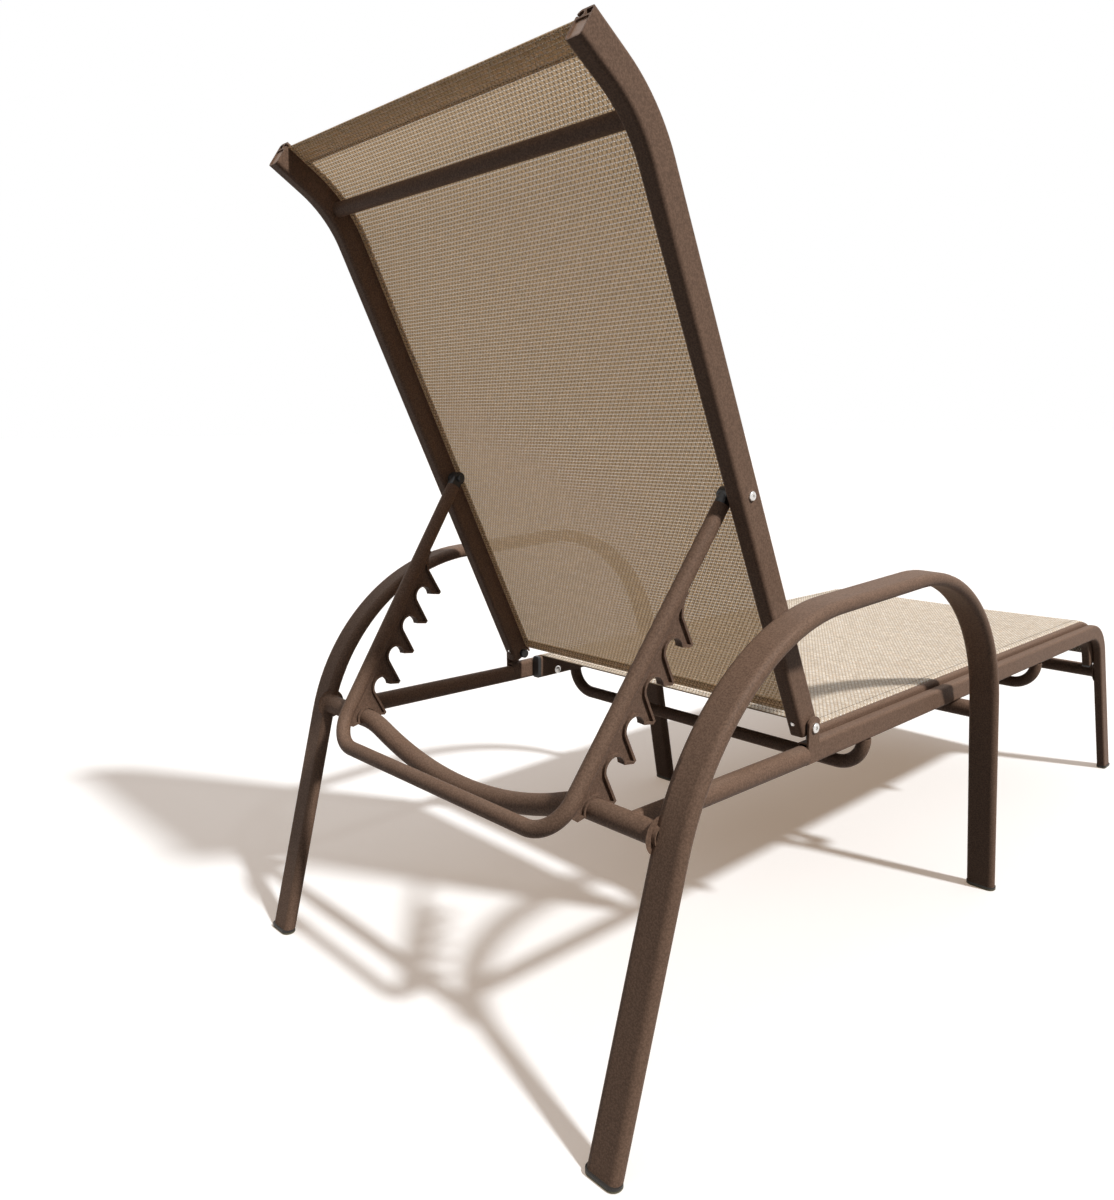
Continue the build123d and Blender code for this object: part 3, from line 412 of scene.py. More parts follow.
def weave_colour(w, p, yarns, level):
    """Colour of each place of the weave's pattern p."""
    pale, mid, seen_through_shade, fleck = yarns
    warm = (0.5 + p.streaks * 1.6).held()
    ground = w.blend(0.35 + 0.65 * warm, fleck, mid)
    grey = (0.86 * pale[0],) * 3
    cool = w.blend(((p.other - 0.45) * 1.3).held(), pale, grey)
    raised = (p.floats * (0.30 + 0.75 * p.cell + 0.5 * (p.fibres - 0.4))).held()
    colour = w.blend(raised, ground, cool)
    between = (abs(p.rise) - 0.33).smooth(0.0, 0.12) * (0.45 + 0.5 * p.line)
    colour = w.blend(between, colour, w.shade(fleck, 0.62))
    tied = (p.ties * (0.55 + 0.6 * p.other)).held()
    colour = w.blend(tied, colour, w.shade(fleck, 0.8))
    colour = w.blend((p.cell > 0.94) * 0.55, colour, fleck)
    # Pinholes take a dark colour: painted shade seen through the openings.
    colour = w.blend((p.holes * 0.95).held(), colour, seen_through_shade)
    tone = 0.95 + 0.34 * p.streaks + 0.16 * (p.cell - 0.5) + 0.10 * p.cloud
    tone = tone + 0.08 * (p.ply - 0.6) + 0.36 * (p.fibres - 0.5)
    return w.shade(colour, tone * level)


def woven_mesh(name, sizes, yarns, glow, level, open_share):
    """Vinyl-coated weave that lets light through. The open share is the part of the view that
    passes; at 1 only the pinholes are open."""
    w = new_finish(name)
    p = weave_pattern(w, sizes)
    see_through = 0.0 < open_share < 1.0
    height = p.floats * (0.8 + 0.4 * p.cell) + 0.3 * p.ties + 0.2 * p.ply
    normal = w.bump(height + 0.25 * p.streaks - 0.6 * p.holes, 0.0005, 0.8)
    values = {"Specular IOR Level": 0.25}
    links = {
        "Base Color": weave_colour(w, p, yarns, level), "Normal": normal,
        "Roughness": (0.62 + 0.2 * p.holes - 0.12 * p.floats).held(),
    }
    if see_through:
        values["Alpha"] = 1 - open_share
    elif open_share == 1.0:
        links["Alpha"] = 1 - p.holes
    vinyl = w.principled(values, links)
    amber = tuple(level * (0.55 * pale + 0.45 * mid) for pale, mid in zip(*yarns[:2]))
    through = w.node("ShaderNodeBsdfTranslucent", values={"Color": solid(amber)},
                     links={"Normal": normal})
    share = glow * (1 - p.holes) * (0.62 + 0.38 * p.floats) * (1 - 0.45 * p.ties)
    share = share.held()
    if see_through:
        share = share * (1 - open_share)
    return w.end(w.mixed(share, vinyl, through))


def sewing_thread(name, colour):
    """Twisted polyester thread."""
    w = new_finish(name)
    where = w.place()
    x, y, z = w.parts(where)
    twist = ((x + y + z) * 9000.0 + 4.0 * w.noise(where, 300.0)).sin()
    fuzz = w.noise(where, 1800.0, 2.0)
    tinted = w.shade(colour, 0.8 + 0.18 * twist + 0.25 * fuzz)
    rough = (0.6 + 0.15 * fuzz).held()
    return w.surface({"Specular IOR Level": 0.3}, tinted, rough, w.bump(twist, 0.00006, 0.6))


def studio_floor(name, colour, shadow):
    """Pale floor that looks white in the picture, with light warm shadows, and throws back less
    light than white would."""
    w = new_finish(name)
    cloud = w.noise(w.place(), 1.5, 3.0)
    matt = {"Roughness": 1.0, "Specular IOR Level": 0.0}
    lit = w.principled(matt, {"Base Color": w.shade(colour, 0.985 + 0.03 * cloud)})
    base = w.node("ShaderNodeEmission", values={"Color": solid(shadow), "Strength": 1.0})
    shown = w.node("ShaderNodeAddShader", links={0: lit.outputs[0], 1: base.outputs[0]})
    bounce = w.principled(matt, {"Base Color": w.shade(colour, 0.10 + 0.02 * cloud)})
    return w.end(w.mixed(w.in_the_picture(), bounce, shown))


# Lines and shells

def bent_line(start, corner, finish, radius, reach=0.02, turn_step=math.radians(2.5)):
    """Points and tangents along two straight runs joined by a tangent arc, in the side plane."""
    start, corner, finish = (np.array(p, float) for p in (start, corner, finish))
    into = (corner - start) / np.linalg.norm(corner - start)
    out = (finish - corner) / np.linalg.norm(finish - corner)
    turn = math.acos(float(np.clip(into @ out, -1, 1)))
    cut = radius * math.tan(turn / 2)
    first = corner - into * cut
    last = corner + out * cut
    side = (out - into) / np.linalg.norm(out - into)
    centre = corner + side * radius / math.cos(turn / 2)
    points, tangents = [], []

    def add_run(low, high, way, past_end=0):
        count = max(2, int(np.linalg.norm(high - low) / reach))
        for k in range(count + past_end):
            points.append(low + (high - low) * k / count)
            tangents.append(way)

    add_run(start, first, into)
    count = max(4, int(turn / turn_step))
    sense = math.copysign(1.0, into[0] * out[1] - into[1] * out[0])
    for k in range(count):
        angle = sense * turn * k / count
        c, s = math.cos(angle), math.sin(angle)
        rotate = np.array(((c, -s), (s, c)))
        points.append(centre + rotate @ (first - centre))
        tangents.append(rotate @ into)
    add_run(last, finish, out, past_end=1)
    return np.array(points), np.array(tangents)


def line_length(points):
    return np.concatenate(([0.0], np.cumsum(np.linalg.norm(np.diff(points, axis=0), axis=1))))


def cut_line(line, low, high):
    """The stretch of a line between two distances from its start."""
    points, tangents = line
    run = line_length(points)
    high = min(high, run[-1])
    inner = [d for d in run if low + MM / 2 < d < high - MM / 2]
    wanted = np.array([low, *inner, high])
    cut = np.stack([np.interp(wanted, run, points[:, k]) for k in (0, 1)], 1)
    way = np.stack([np.interp(wanted, run, tangents[:, k]) for k in (0, 1)], 1)
    return cut, way / np.linalg.norm(way, axis=1)[:, None], wanted


def rail_height(y):
    return RAIL_HEIGHT + RAIL_SLOPE * (y - HINGE[0])


def seat_line():
    """Centre line of the seat's sling rails, from the hinge end to the foot."""
    slope = math.tan(LEG_RAKE)
    base = RAIL_HEIGHT + SLING_RAIL_LIFT - RAIL_SLOPE * HINGE[0]
    corner_y = (FOOT_LEG + LEG_SETBACK + slope * base) / (1 - slope * RAIL_SLOPE)
    corner = (corner_y, rail_height(corner_y) + SLING_RAIL_LIFT)
    start = (SEAT_START, rail_height(SEAT_START) + SLING_RAIL_LIFT)
    finish = (corner_y - (corner[1] - SEAT_LOW) * slope, SEAT_LOW)
    return bent_line(start, corner, finish, SEAT_BEND)


def along_back(angle, distance, origin):
    return (origin[0] + math.cos(angle) * distance, origin[1] + math.sin(angle) * distance)


def back_line():
    """Centre line of the uprights, from the hinge to the head."""
    start = along_back(BACK_ANGLE, BACK_START, HINGE)
    corner = along_back(BACK_ANGLE, UPRIGHT_CORNER, HINGE)
    finish = along_back(BACK_ANGLE - HEAD_ROLL, HEAD_LENGTH - BACK_TRIM, corner)
    return bent_line(start, corner, finish, HEAD_BEND)


def offsets(tangents):
    """Unit normals of a side-plane line: up from the seat, to the rear from the back."""
    return np.stack([tangents[:, 1], -tangents[:, 0]], 1)


def beside(at, up, x, level):
    """A place across a side-plane line by x and off it by level."""
    return (x, at[0] + up[0] * level, at[1] + up[1] * level)


def loop_points(centre, first, sweep, count=14):
    angles = np.linspace(first, first + sweep, count)
    return [(centre[0] + LOOP_RADIUS * math.cos(a), centre[1] + LOOP_RADIUS * math.sin(a))
            for a in angles]


def both_ends(half):
    """A section that is the same on both sides, from its left end to its right end."""
    return np.array([(-x, n) for x, n in reversed(half)] + half)


def flat_run(reach, level, count=24):
    return [(reach * k / count, level) for k in range(1, count + 1)]


def seat_profile():
    """Over the rails, down through the slots and round the splines."""
    run = flat_run(SEAT_LOOP[0] - 2.2 * MM, SEAT_SHEET_LIFT)
    bend = [(SEAT_LOOP[0] - 0.7 * MM, SEAT_SHEET_LIFT - 0.2 * MM),
            (SEAT_LOOP[0], SEAT_SHEET_LIFT - MM)]
    return both_ends(run + bend + loop_points(SEAT_LOOP, math.pi / 2, -LOOP_TURN))


def back_profile():
    """Straight into the uprights' inner sides and round the splines."""
    run = flat_run(BACK_LOOP[0] - LOOP_RADIUS - MM, BACK_LOOP[1])
    return both_ends(run + loop_points(BACK_LOOP, math.pi, LOOP_TURN))


def section_normals(profile):
    way = np.gradient(profile, axis=0)
    way /= np.linalg.norm(way, axis=1)[:, None]
    return np.stack([-way[:, 1], way[:, 0]], 1)


def add_object(name, data):
    made = bpy.data.objects.new(name, data)
    bpy.context.scene.collection.objects.link(made)
    return made


def add_shape(name, shape):
    """An object from a worked shape, which is freed."""
    mesh = bpy.data.meshes.new(name)
    shape.to_mesh(mesh)
    shape.free()
    return add_object(name, mesh)


def drop(piece):
    """Removes an object and its mesh."""
    mesh = piece.data
    bpy.data.objects.remove(piece)
    bpy.data.meshes.remove(mesh)


def make_object(name, vertices, faces, materials, indices=None, uvs=None):
    mesh = bpy.data.meshes.new(name)
    mesh.from_pydata([tuple(v) for v in vertices], [], faces)
    for material in materials:
        mesh.materials.append(material)
    if indices is not None:
        mesh.polygons.foreach_set("material_index", indices)
    if uvs is not None:
        layer = mesh.uv_layers.new(name="Cloth")
        layer.data.foreach_set("uv", [c for face in uvs for corner in face for c in corner])
    mesh.polygons.foreach_set("use_smooth", [True] * len(mesh.polygons))
    shape = bmesh.new()
    shape.from_mesh(mesh)
    bmesh.ops.recalc_face_normals(shape, faces=shape.faces)
    shape.to_mesh(mesh)
    shape.free()
    mesh.update()
    return add_object(name, mesh)


def sling_shell(name, line, profile, thickness, sag, materials):
    """Closed sheet lofted along a line; the first finish is the upper or rear side."""
    points, tangents = line
    ups = offsets(tangents)
    run = line_length(points)
    sides = section_normals(profile)
    reach = np.abs(profile[:, 0]).max()
    width = line_length(profile)
    stations, count = len(points), len(profile)
    vertices = []
    for at, up, far in zip(points, ups, run):
        share = far / run[-1]
        fade = math.sin(math.pi * share) ** 0.6 if 0 < share < 1 else 0.0
        for half in (thickness / 2, -thickness / 2):
            for (x, n), (sx, sn) in zip(profile, sides):
                inner = max(0.0, 1 - (x / (reach - 12 * MM)) ** 2)
                level = n + half * sn - sag * fade * inner
                vertices.append(beside(at, up, x + half * sx, level))
    faces, indices, uvs = [], [], []

    def add_face(corners, side=0):
        """A face from corners given as station, side and place along the profile."""
        faces.append([i * 2 * count + half * count + j for i, half, j in corners])
        uvs.append([(width[j], run[i]) for i, _, j in corners])
        indices.append(side)

    for i in range(stations - 1):
        for j in range(count - 1):
            for half in (0, 1):
                add_face([(i, half, j), (i, half, j + 1), (i + 1, half, j + 1), (i + 1, half, j)],
                         half)
        for j in (0, count - 1):
            add_face([(i, 0, j), (i, 1, j), (i + 1, 1, j), (i + 1, 0, j)])
    for i in (0, stations - 1):
        for j in range(count - 1):
            add_face([(i, 0, j), (i, 0, j + 1), (i, 1, j + 1), (i, 1, j)])
    made = make_object(name, vertices, faces, materials, indices, uvs)
    return made, (float(width[-1]), float(run[-1]))


def hem_band(name, line, span, reach, level, thickness, material, columns=HEM_COLUMNS):
    """Folded hem: a thin rounded slab along a stretch of a line."""
    points, tangents, run = cut_line(line, *span)
    ups = offsets(tangents)
    low, high = reach
    edge = thickness * 0.45
    half = thickness / 2
    flat = high - low - 2 * edge
    top = [(low + edge + flat * k / columns, half) for k in range(columns + 1)]
    bottom = [(x, -half) for x, _ in reversed(top)]
    lip = 0.3 * half
    ring = top + [(high, lip), (high, -lip)] + bottom + [(low, -lip), (low, lip)]
    count = len(ring)
    vertices = [beside(at, up, x, level + n) for at, up in zip(points, ups) for x, n in ring]
    faces, uvs = [], []
    for i in range(len(points) - 1):
        for j in range(count):
            k = (j + 1) % count
            corners = ((j, i), (k, i), (k, i + 1), (j, i + 1))
            faces.append([b * count + a for a, b in corners])
            uvs.append([(ring[a][0], run[b]) for a, b in corners])
    for i in (0, len(points) - 1):
        faces.append([i * count + j for j in range(count)])
        uvs.append([(ring[j][0], run[i] + ring[j][1]) for j in range(count)])
    return make_object(name, vertices, faces, [material], None, uvs)


def merge_pieces(name, pieces):
    """One object from several, with its place in its mesh."""
    shape = bmesh.new()
    for piece in pieces:
        shape.from_mesh(piece.data)
    made = add_shape(name, shape)
    for material in pieces[0].data.materials:
        made.data.materials.append(material)
    made.data.polygons.foreach_set("use_smooth", [True] * len(made.data.polygons))
    for piece in pieces:
        drop(piece)
    return made


def seam_path(line, span, x, level):
    """A row of stitches down the length of a sling."""
    points, tangents, _ = cut_line(line, *span)
    return [beside(at, up, x, level) for at, up in zip(points, offsets(tangents))]


def cross_seam(line, distance, reach, level, count=30):
    """A row of stitches across a sling."""
    points, tangents, _ = cut_line(line, distance, distance + 2 * MM)
    up = offsets(tangents)[0]
    return [beside(points[0], up, -reach + 2 * reach * k / count, level) for k in range(count + 1)]


# Geometry node trees

class Builder(NodeBench):
    """A geometry node tree with named inputs."""

    def __init__(self, name):
        super().__init__(bpy.data.node_groups.new(name, "GeometryNodeTree"))
        for way in ("INPUT", "OUTPUT"):
            self.tree.interface.new_socket("Geometry", in_out=way, socket_type="NodeSocketGeometry")
        self.names = {}
        self.outer = None

    def ask(self, kind, **named):
        """Inputs of one kind by name, with their usual values."""
        for name, value in named.items():
            name = name.replace("_", " ")
            socket = self.tree.interface.new_socket(
                name, in_out="INPUT", socket_type="NodeSocket" + kind)
            if value is not None:
                socket.default_value = value
            self.names[name] = socket.identifier

    def asked(self, name):
        if self.outer is None:
            self.outer = self.node("NodeGroupInput")
        return self.outer.outputs[name]

    def finish(self, geometry, material):
        real = self.node("GeometryNodeRealizeInstances", links={0: geometry})
        links = {"Geometry": real.outputs[0], "Material": material}
        coated = self.node("GeometryNodeSetMaterial", links=links)
        self.node("NodeGroupOutput", links={0: coated.outputs[0]})


def stitch_tree():
    """Short thread stitches, one after another along each line of a mesh."""
    b = Builder("Stitch Rows")
    b.ask("Float", Pitch=0.0045, Stitch_Length=0.0034, Thread_Width=0.0006, Unevenness=0.12)
    b.ask("Int", Seed=7)
    b.ask("Material", Thread=None)
    curve = b.node("GeometryNodeMeshToCurve", links={0: b.asked("Geometry")})
    links = {"Curve": curve.outputs[0], "Length": b.asked("Pitch")}
    dots = b.node("GeometryNodeResampleCurve", {"mode": "LENGTH"}, links=links)
    ball = b.node("GeometryNodeMeshUVSphere", values={"Segments": 6, "Rings": 4, "Radius": 0.5})
    way = b.node("GeometryNodeInputTangent")
    links = {"Vector": way.outputs[0]}
    turn = b.node("FunctionNodeAlignRotationToVector", {"axis": "X"}, links=links)
    links = {"Seed": b.asked("Seed")}
    vary = b.node("FunctionNodeRandomValue", {"data_type": "FLOAT"}, links=links)
    limits = [s for s in vary.inputs if s.type == "VALUE" and s.name in ("Min", "Max")]
    links = {1: b.asked("Unevenness")}
    for slot, operation in zip(limits, ("SUBTRACT", "ADD")):
        limit = b.node("ShaderNodeMath", {"operation": operation}, {0: 1.0}, links)
        b.join(limit.outputs[0], slot)
    amount = [s for s in vary.outputs if s.type == "VALUE"][0]
    links = {0: b.asked("Stitch Length"), 1: amount}
    length = b.node("ShaderNodeMath", {"operation": "MULTIPLY"}, links=links)
    width = b.asked("Thread Width")
    size = b.node("ShaderNodeCombineXYZ", links={0: length.outputs[0], 1: width, 2: width})
    links = {
        "Points": dots.outputs[0], "Instance": ball.outputs[0],
        "Rotation": turn.outputs[0], "Scale": size.outputs[0],
    }
    placed = b.node("GeometryNodeInstanceOnPoints", links=links)
    smooth = b.node("GeometryNodeSetShadeSmooth", links={0: placed.outputs[0]})
    b.finish(smooth.outputs[0], b.asked("Thread"))
    return b


def screw_tree():
    """A screw at each point of a mesh, turned by the point's stored angles."""
    b = Builder("Screw Set")
    b.ask("Object", Screw=None)
    b.ask("Float", Size=1.0)
    b.ask("Material", Finish=None)
    settings = {"transform_space": "ORIGINAL"}
    one = b.node("GeometryNodeObjectInfo", settings, links={"Object": b.asked("Screw")})
    settings = {"data_type": "FLOAT_VECTOR"}
    angles = b.node("GeometryNodeInputNamedAttribute", settings, {"Name": "angles"})
    turn = b.node("FunctionNodeEulerToRotation", links={0: angles.outputs[0]})
    links = {
        "Points": b.asked("Geometry"), "Instance": one.outputs["Geometry"],
        "Rotation": turn.outputs[0], "Scale": b.asked("Size"),
    }
    placed = b.node("GeometryNodeInstanceOnPoints", links=links)
    b.finish(placed.outputs[0], b.asked("Finish"))
    return b


def run_tree(builder, carrier, values, name):
    """Runs a tree on a carrier mesh and keeps the result as a plain mesh."""
    modifier = carrier.modifiers.new("Build", "NODES")
    modifier.node_group = builder.tree
    for key, value in values.items():
        modifier[builder.names[key]] = value
    bpy.context.view_layer.update()
    ready = carrier.evaluated_get(bpy.context.evaluated_depsgraph_get())
    mesh = bpy.data.meshes.new_from_object(ready)
    mesh.name = name
    carrier.modifiers.remove(modifier)
    drop(carrier)
    return add_object(name, mesh)


def carrier_of(name, rows):
    """Edges of a carrier mesh from rows of points."""
    vertices, edges = [], []
    for row in rows:
        start = len(vertices)
        vertices += row
        edges += [(start + k, start + k + 1) for k in range(len(row) - 1)]
    mesh = bpy.data.meshes.new(name)
    mesh.from_pydata(vertices, edges, [])
    return add_object(name, mesh)


def separate_solids(node):
    """Vertex clouds of the separate solids in a CAD node."""
    shape = bmesh.new()
    shape.from_mesh(node.data)
    bmesh.ops.remove_doubles(shape, verts=shape.verts, dist=0.01 * MM)
    shape.verts.ensure_lookup_table()
    seen = set()
    clouds = []
    for first in shape.verts:
        if first.index in seen:
            continue
        stack, cloud = [first], []
        seen.add(first.index)
        while stack:
            vertex = stack.pop()
            cloud.append(tuple(vertex.co))
            for edge in vertex.link_edges:
                other = edge.other_vert(vertex)
                if other.index not in seen:
                    seen.add(other.index)
                    stack.append(other)
        clouds.append(np.array(cloud))
    shape.free()
    return clouds


def pan_head_screw(name, radius, height, shank_radius, shank_length):
    """Pan head with a cross recess on +Z and a plain shank below."""
    slot, arm, depth = 0.17 * radius, 0.62 * radius, 0.55 * height
    rings = [(k / SCREW_RINGS * radius, height * (1 - (k / SCREW_RINGS) ** 4 * 0.75))
             for k in range(1, SCREW_RINGS + 1)]
    rings += [(radius, 0.0), (shank_radius, 0.0), (shank_radius, -shank_length)]
    shape = bmesh.new()
    centre = shape.verts.new((0, 0, height - depth))
    previous = None
    for number, (r, rise) in enumerate(rings):
        ring = []
        for s in range(SCREW_SECTORS):
            a = 2 * math.pi * s / SCREW_SECTORS
            x, y = r * math.cos(a), r * math.sin(a)
            in_cross = min(abs(x), abs(y)) < slot and max(abs(x), abs(y)) < arm
            sunk = depth if in_cross and number < SCREW_RINGS else 0.0
            ring.append(shape.verts.new((x, y, rise - sunk)))
        for s in range(SCREW_SECTORS):
            t = (s + 1) % SCREW_SECTORS
            if previous is None:
                shape.faces.new((centre, ring[s], ring[t]))
            else:
                shape.faces.new((previous[s], ring[s], ring[t], previous[t]))
        previous = ring
    shape.faces.new(list(reversed(previous)))
    bmesh.ops.recalc_face_normals(shape, faces=shape.faces)
    return add_shape(name, shape)


def screw_measures(cloud, head_outside):
    """Radius and height of a screw's head, radius of its shank and its whole length along X."""
    reach = np.abs(cloud[:, 0])
    head_end = reach.max() if head_outside else reach.min()
    middle = (cloud[:, 1].min() + cloud[:, 1].max()) / 2
    near = cloud[np.abs(reach - head_end) < 0.3 * MM]
    radius = np.abs(near[:, 1] - middle).max()
    far = cloud[np.abs(reach - head_end) > 0.6 * np.ptp(reach)]
    shank = np.abs(far[:, 1] - middle).max()
    from_middle = np.hypot(cloud[:, 1] - middle, cloud[:, 2] - cloud[:, 2].mean())
    height = max(LEAST_HEAD, np.ptp(reach[from_middle > 0.8 * radius]))
    return radius, height, shank, np.ptp(reach)


def coat(nodes, material):
    for name in nodes:
        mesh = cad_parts[name].data
        mesh.materials.clear()
        mesh.materials.append(material)


def finish_named(name):
    return bpy.data.materials[name]


def hang_sling(sheet, hems, body, node):
    """A sling in the place of its CAD node, held between the left and the right holder."""
    for piece in (sheet, *hems):
        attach(piece, body)
    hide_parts(node)


# User values

def length_value(name, description, default, low, high):
    return bpy.props.FloatProperty(
        name=name, description=description, default=default, min=low, max=high, unit="LENGTH")


def number_value(name, description, default, low=0.0, high=100.0):
    return bpy.props.FloatProperty(
        name=name, description=description, default=default, min=low, max=high)


def angle_value(name, description, degrees):
    return bpy.props.FloatProperty(
        name=name, description=description, default=math.radians(degrees), subtype="ANGLE")


def tint_value(name, description, *default):
    return bpy.props.FloatVectorProperty(
        name=name, description=description, default=default,
        size=3, subtype="COLOR", min=0.0, max=1.0)


class ChaiseSizes(bpy.types.PropertyGroup):
    sling_thickness: length_value(
        "Sling thickness", "Thickness of the woven slings", 0.0009, 0.0005, 0.002)
    seat_sag: length_value(
        "Seat sag", "How far the seat sling hangs below its rails in the middle", 0.005, 0.0, 0.012)
    back_sag: length_value(
        "Back hollow", "How far the back sling gives to the rear in the middle", 0.004, 0.0, 0.012)
    weave_across: number_value(
        "Weave width", "Millimetres from one raised float to the next across the sling",
        6.0, 1.0, 10.0)
    weave_along: number_value(
        "Weave rise", "Millimetres from one row of floats to the next", 4.6, 1.0, 10.0)
    end_hem: length_value(
        "End hem", "Depth of the hems at the seat's ends and the foot of the back",
        0.015, 0.005, 0.04)
    head_hem: length_value(
        "Head hem", "Depth of the hem at the head of the back", 0.030, 0.01, 0.06)
    side_hem: length_value(
        "Side hem", "Visible width of the hems beside the rails", 0.011, 0.004, 0.03)
    hem_thickness: length_value(
        "Hem thickness", "Thickness of the folded layer", 0.0010, 0.0004, 0.002)
    stitch_pitch: length_value(
        "Stitch pitch", "Distance from one stitch to the next", 0.0044, 0.002, 0.01)
    thread_width: length_value(
        "Thread width", "Width of the sewing thread", 0.0008, 0.0002, 0.002)


class ChaiseColours(bpy.types.PropertyGroup):
    frame_coat: tint_value("Frame coat", "Powder coat on tubes and rails", 0.158, 0.098, 0.068)
    cast_coat: tint_value("Rack coat", "Powder coat on the cast racks", 0.142, 0.088, 0.062)
    black: tint_value("Black plastic", "Caps, spacers and plugs", 0.020, 0.019, 0.019)
    brown: tint_value("Brown plastic", "Recessed caps of the uprights", 0.20, 0.105, 0.055)
    glide_rim: tint_value("Glide rim", "Upper part of the floor pads", 0.028, 0.024, 0.021)
    glide_sole: tint_value("Glide sole", "Sole of the floor pads", 0.135, 0.125, 0.075)
    steel: tint_value("Screw steel", "Bolts, screws and washers", 0.70, 0.69, 0.67)
    spline: tint_value("Spline", "Plastic rods inside the rails", 0.45, 0.42, 0.36)
    yarn_pale: tint_value("Pale yarn", "Raised floats of the weave", 0.95, 0.88, 0.775)
    yarn_mid: tint_value("Middle yarn", "Ground of the weave", 0.69, 0.60, 0.48)
    # Colour painted into the pinholes: painted shade seen through the openings.
    pinhole_shade: tint_value("Pinholes", "Openings between the yarns", 0.20, 0.14, 0.09)
    yarn_fleck: tint_value("Fleck yarn", "Darker yarns and specks", 0.43, 0.32, 0.22)
    thread: tint_value("Thread", "Sewing thread", 0.055, 0.032, 0.020)


class ChaiseStudio(bpy.types.PropertyGroup):
    lens: number_value("Lens", "Focal length in millimetres on a 36 mm sensor", 28.579, 10.0)
    azimuth: angle_value("Azimuth", "Direction of the camera round the chaise", 226.78)
    elevation: angle_value("Elevation", "Height angle of the camera", 9.303)
    roll: angle_value("Roll", "Turn of the camera about its view", -0.391)
    place: bpy.props.FloatVectorProperty(
        name="Camera place", description="Where the camera stands",
        default=(-0.89496, 1.38682, 0.72807), size=3, subtype="TRANSLATION")
    shift: bpy.props.FloatVectorProperty(
        name="Shift", description="Offset of the lens from the middle of the picture",
        default=(0.0002, -0.0173), size=2)
    sun_strength: number_value("Key light", "Strength of the key light", 3.25)
    sun_spread: angle_value("Key spread", "Softness of the key light's shadows", 4.0)
    sky_strength: number_value("Fill light", "Strength of the light from all round", 0.04)
    top_strength: number_value("Top light", "Strength of the soft light from above", 0.95)
    floor: tint_value("Floor", "Colour of the floor", 0.80, 0.84, 0.88)
    shadow: tint_value("Shadow tone", "Floor's colour in the shade", 0.30, 0.222, 0.162)


# Operators

class PaintParts(bpy.types.Operator):
    """Powder coat on the frame, moulded plastics and bright steel"""
    bl_idname = "chaise.paint_parts"
    bl_label = "Paint Parts"

    def execute(self, context):
        c = context.scene.chaise_colours
        coat(METAL_NODES, powder_coat("Brown powder coat", c.frame_coat, 0.0009, 0.00012, 0.58))
        coat(CAST_NODES, powder_coat("Cast rack coat", c.cast_coat, 0.0011, 0.00014, 0.5))
        coat(BLACK_NODES, moulded_plastic("Black moulded plastic", c.black, 0.4))
        coat(BROWN_NODES, moulded_plastic("Brown moulded plastic", c.brown, 0.46))
        coat(SPLINE_NODES, moulded_plastic("Spline plastic", c.spline, 0.42))
        coat(GLIDE_NODES, glide_plastic("Glide plastic", c.glide_rim, c.glide_sole))
        coat(STEEL_NODES, bright_steel("Bright steel", c.steel))
        return {"FINISHED"}


class MixCloth(bpy.types.Operator):
    """Weave and thread finishes that the slings share"""
    bl_idname = "chaise.mix_cloth"
    bl_label = "Mix Cloth"

    def execute(self, context):
        c = context.scene.chaise_colours
        sizes = context.scene.chaise_sizes
        yarns = (c.yarn_pale, c.yarn_mid, c.pinhole_shade, c.yarn_fleck)
        lighter_pinhole_shade = tuple(v * 2.1 for v in c.pinhole_shade)
        soft_fleck = tuple(v * 1.35 for v in c.yarn_fleck)

        # Copies of the yarns scaled per channel, darker and warmer: painted shade and painted
        # light.
        def tinted_for_painted_light(*amounts):
            return [tuple(v * a for v, a in zip(colour, amounts)) for colour in yarns]

        # Name, yarns, glow, level, open share. The underside, rear-side and hem copies are one
        # cloth tinted for painted shade and painted light.
        for name, *look in (
            ("Pale weave", (c.yarn_pale, c.yarn_mid, lighter_pinhole_shade, soft_fleck), 0.12, 1.08, 0.0),
            ("Pale weave underside", tinted_for_painted_light(0.9, 0.86, 0.82), 0.12, 1.0, 0.0),
            ("Back weave", (c.yarn_pale, c.yarn_mid, lighter_pinhole_shade, c.yarn_fleck), 0.42, 1.10, 0.38),
            ("Back weave rear side", tinted_for_painted_light(0.92, 0.76, 0.58), 0.68, 0.68, 1.0),
            ("Foot hem weave", tinted_for_painted_light(1.0, 0.90, 0.76), 0.6, 1.2, 0.3),
            ("Hem weave", tinted_for_painted_light(0.97, 0.84, 0.66), 0.5, 1.1, 0.42),
        ):
            woven_mesh(name, sizes, *look)
        sewing_thread("Sewing thread", c.thread)
        return {"FINISHED"}


class MakeSeatSling(bpy.types.Operator):
    """Stretched seat fabric with its hems"""
    bl_idname = "chaise.make_seat_sling"
    bl_label = "Make Seat Sling"

    def execute(self, context):
        sizes = context.scene.chaise_sizes
        line = seat_line()
        # The seat's underside and its hems take a darker copy of the same weave: painted shade.
        weave = [finish_named("Pale weave"), finish_named("Pale weave underside")]
        sheet, flat = sling_shell(
            "seat_fabric", line, seat_profile(), sizes.sling_thickness, sizes.seat_sag, weave)
        run = flat[1]
        level = SEAT_SHEET_LIFT - (sizes.sling_thickness + sizes.hem_thickness) / 2
        reach = SEAT_LOOP[0] - SEAT_HEM_INSET
        spans = ((0.0, sizes.end_hem), (run - sizes.end_hem, run))
        hem = merge_pieces("seat_hems", [
            hem_band("seat_hem", line, span, (-reach, reach), level, sizes.hem_thickness, weave[1])
            for span in spans])
        hang_sling(sheet, [hem], "base", "seat_sling")
        return {"FINISHED"}


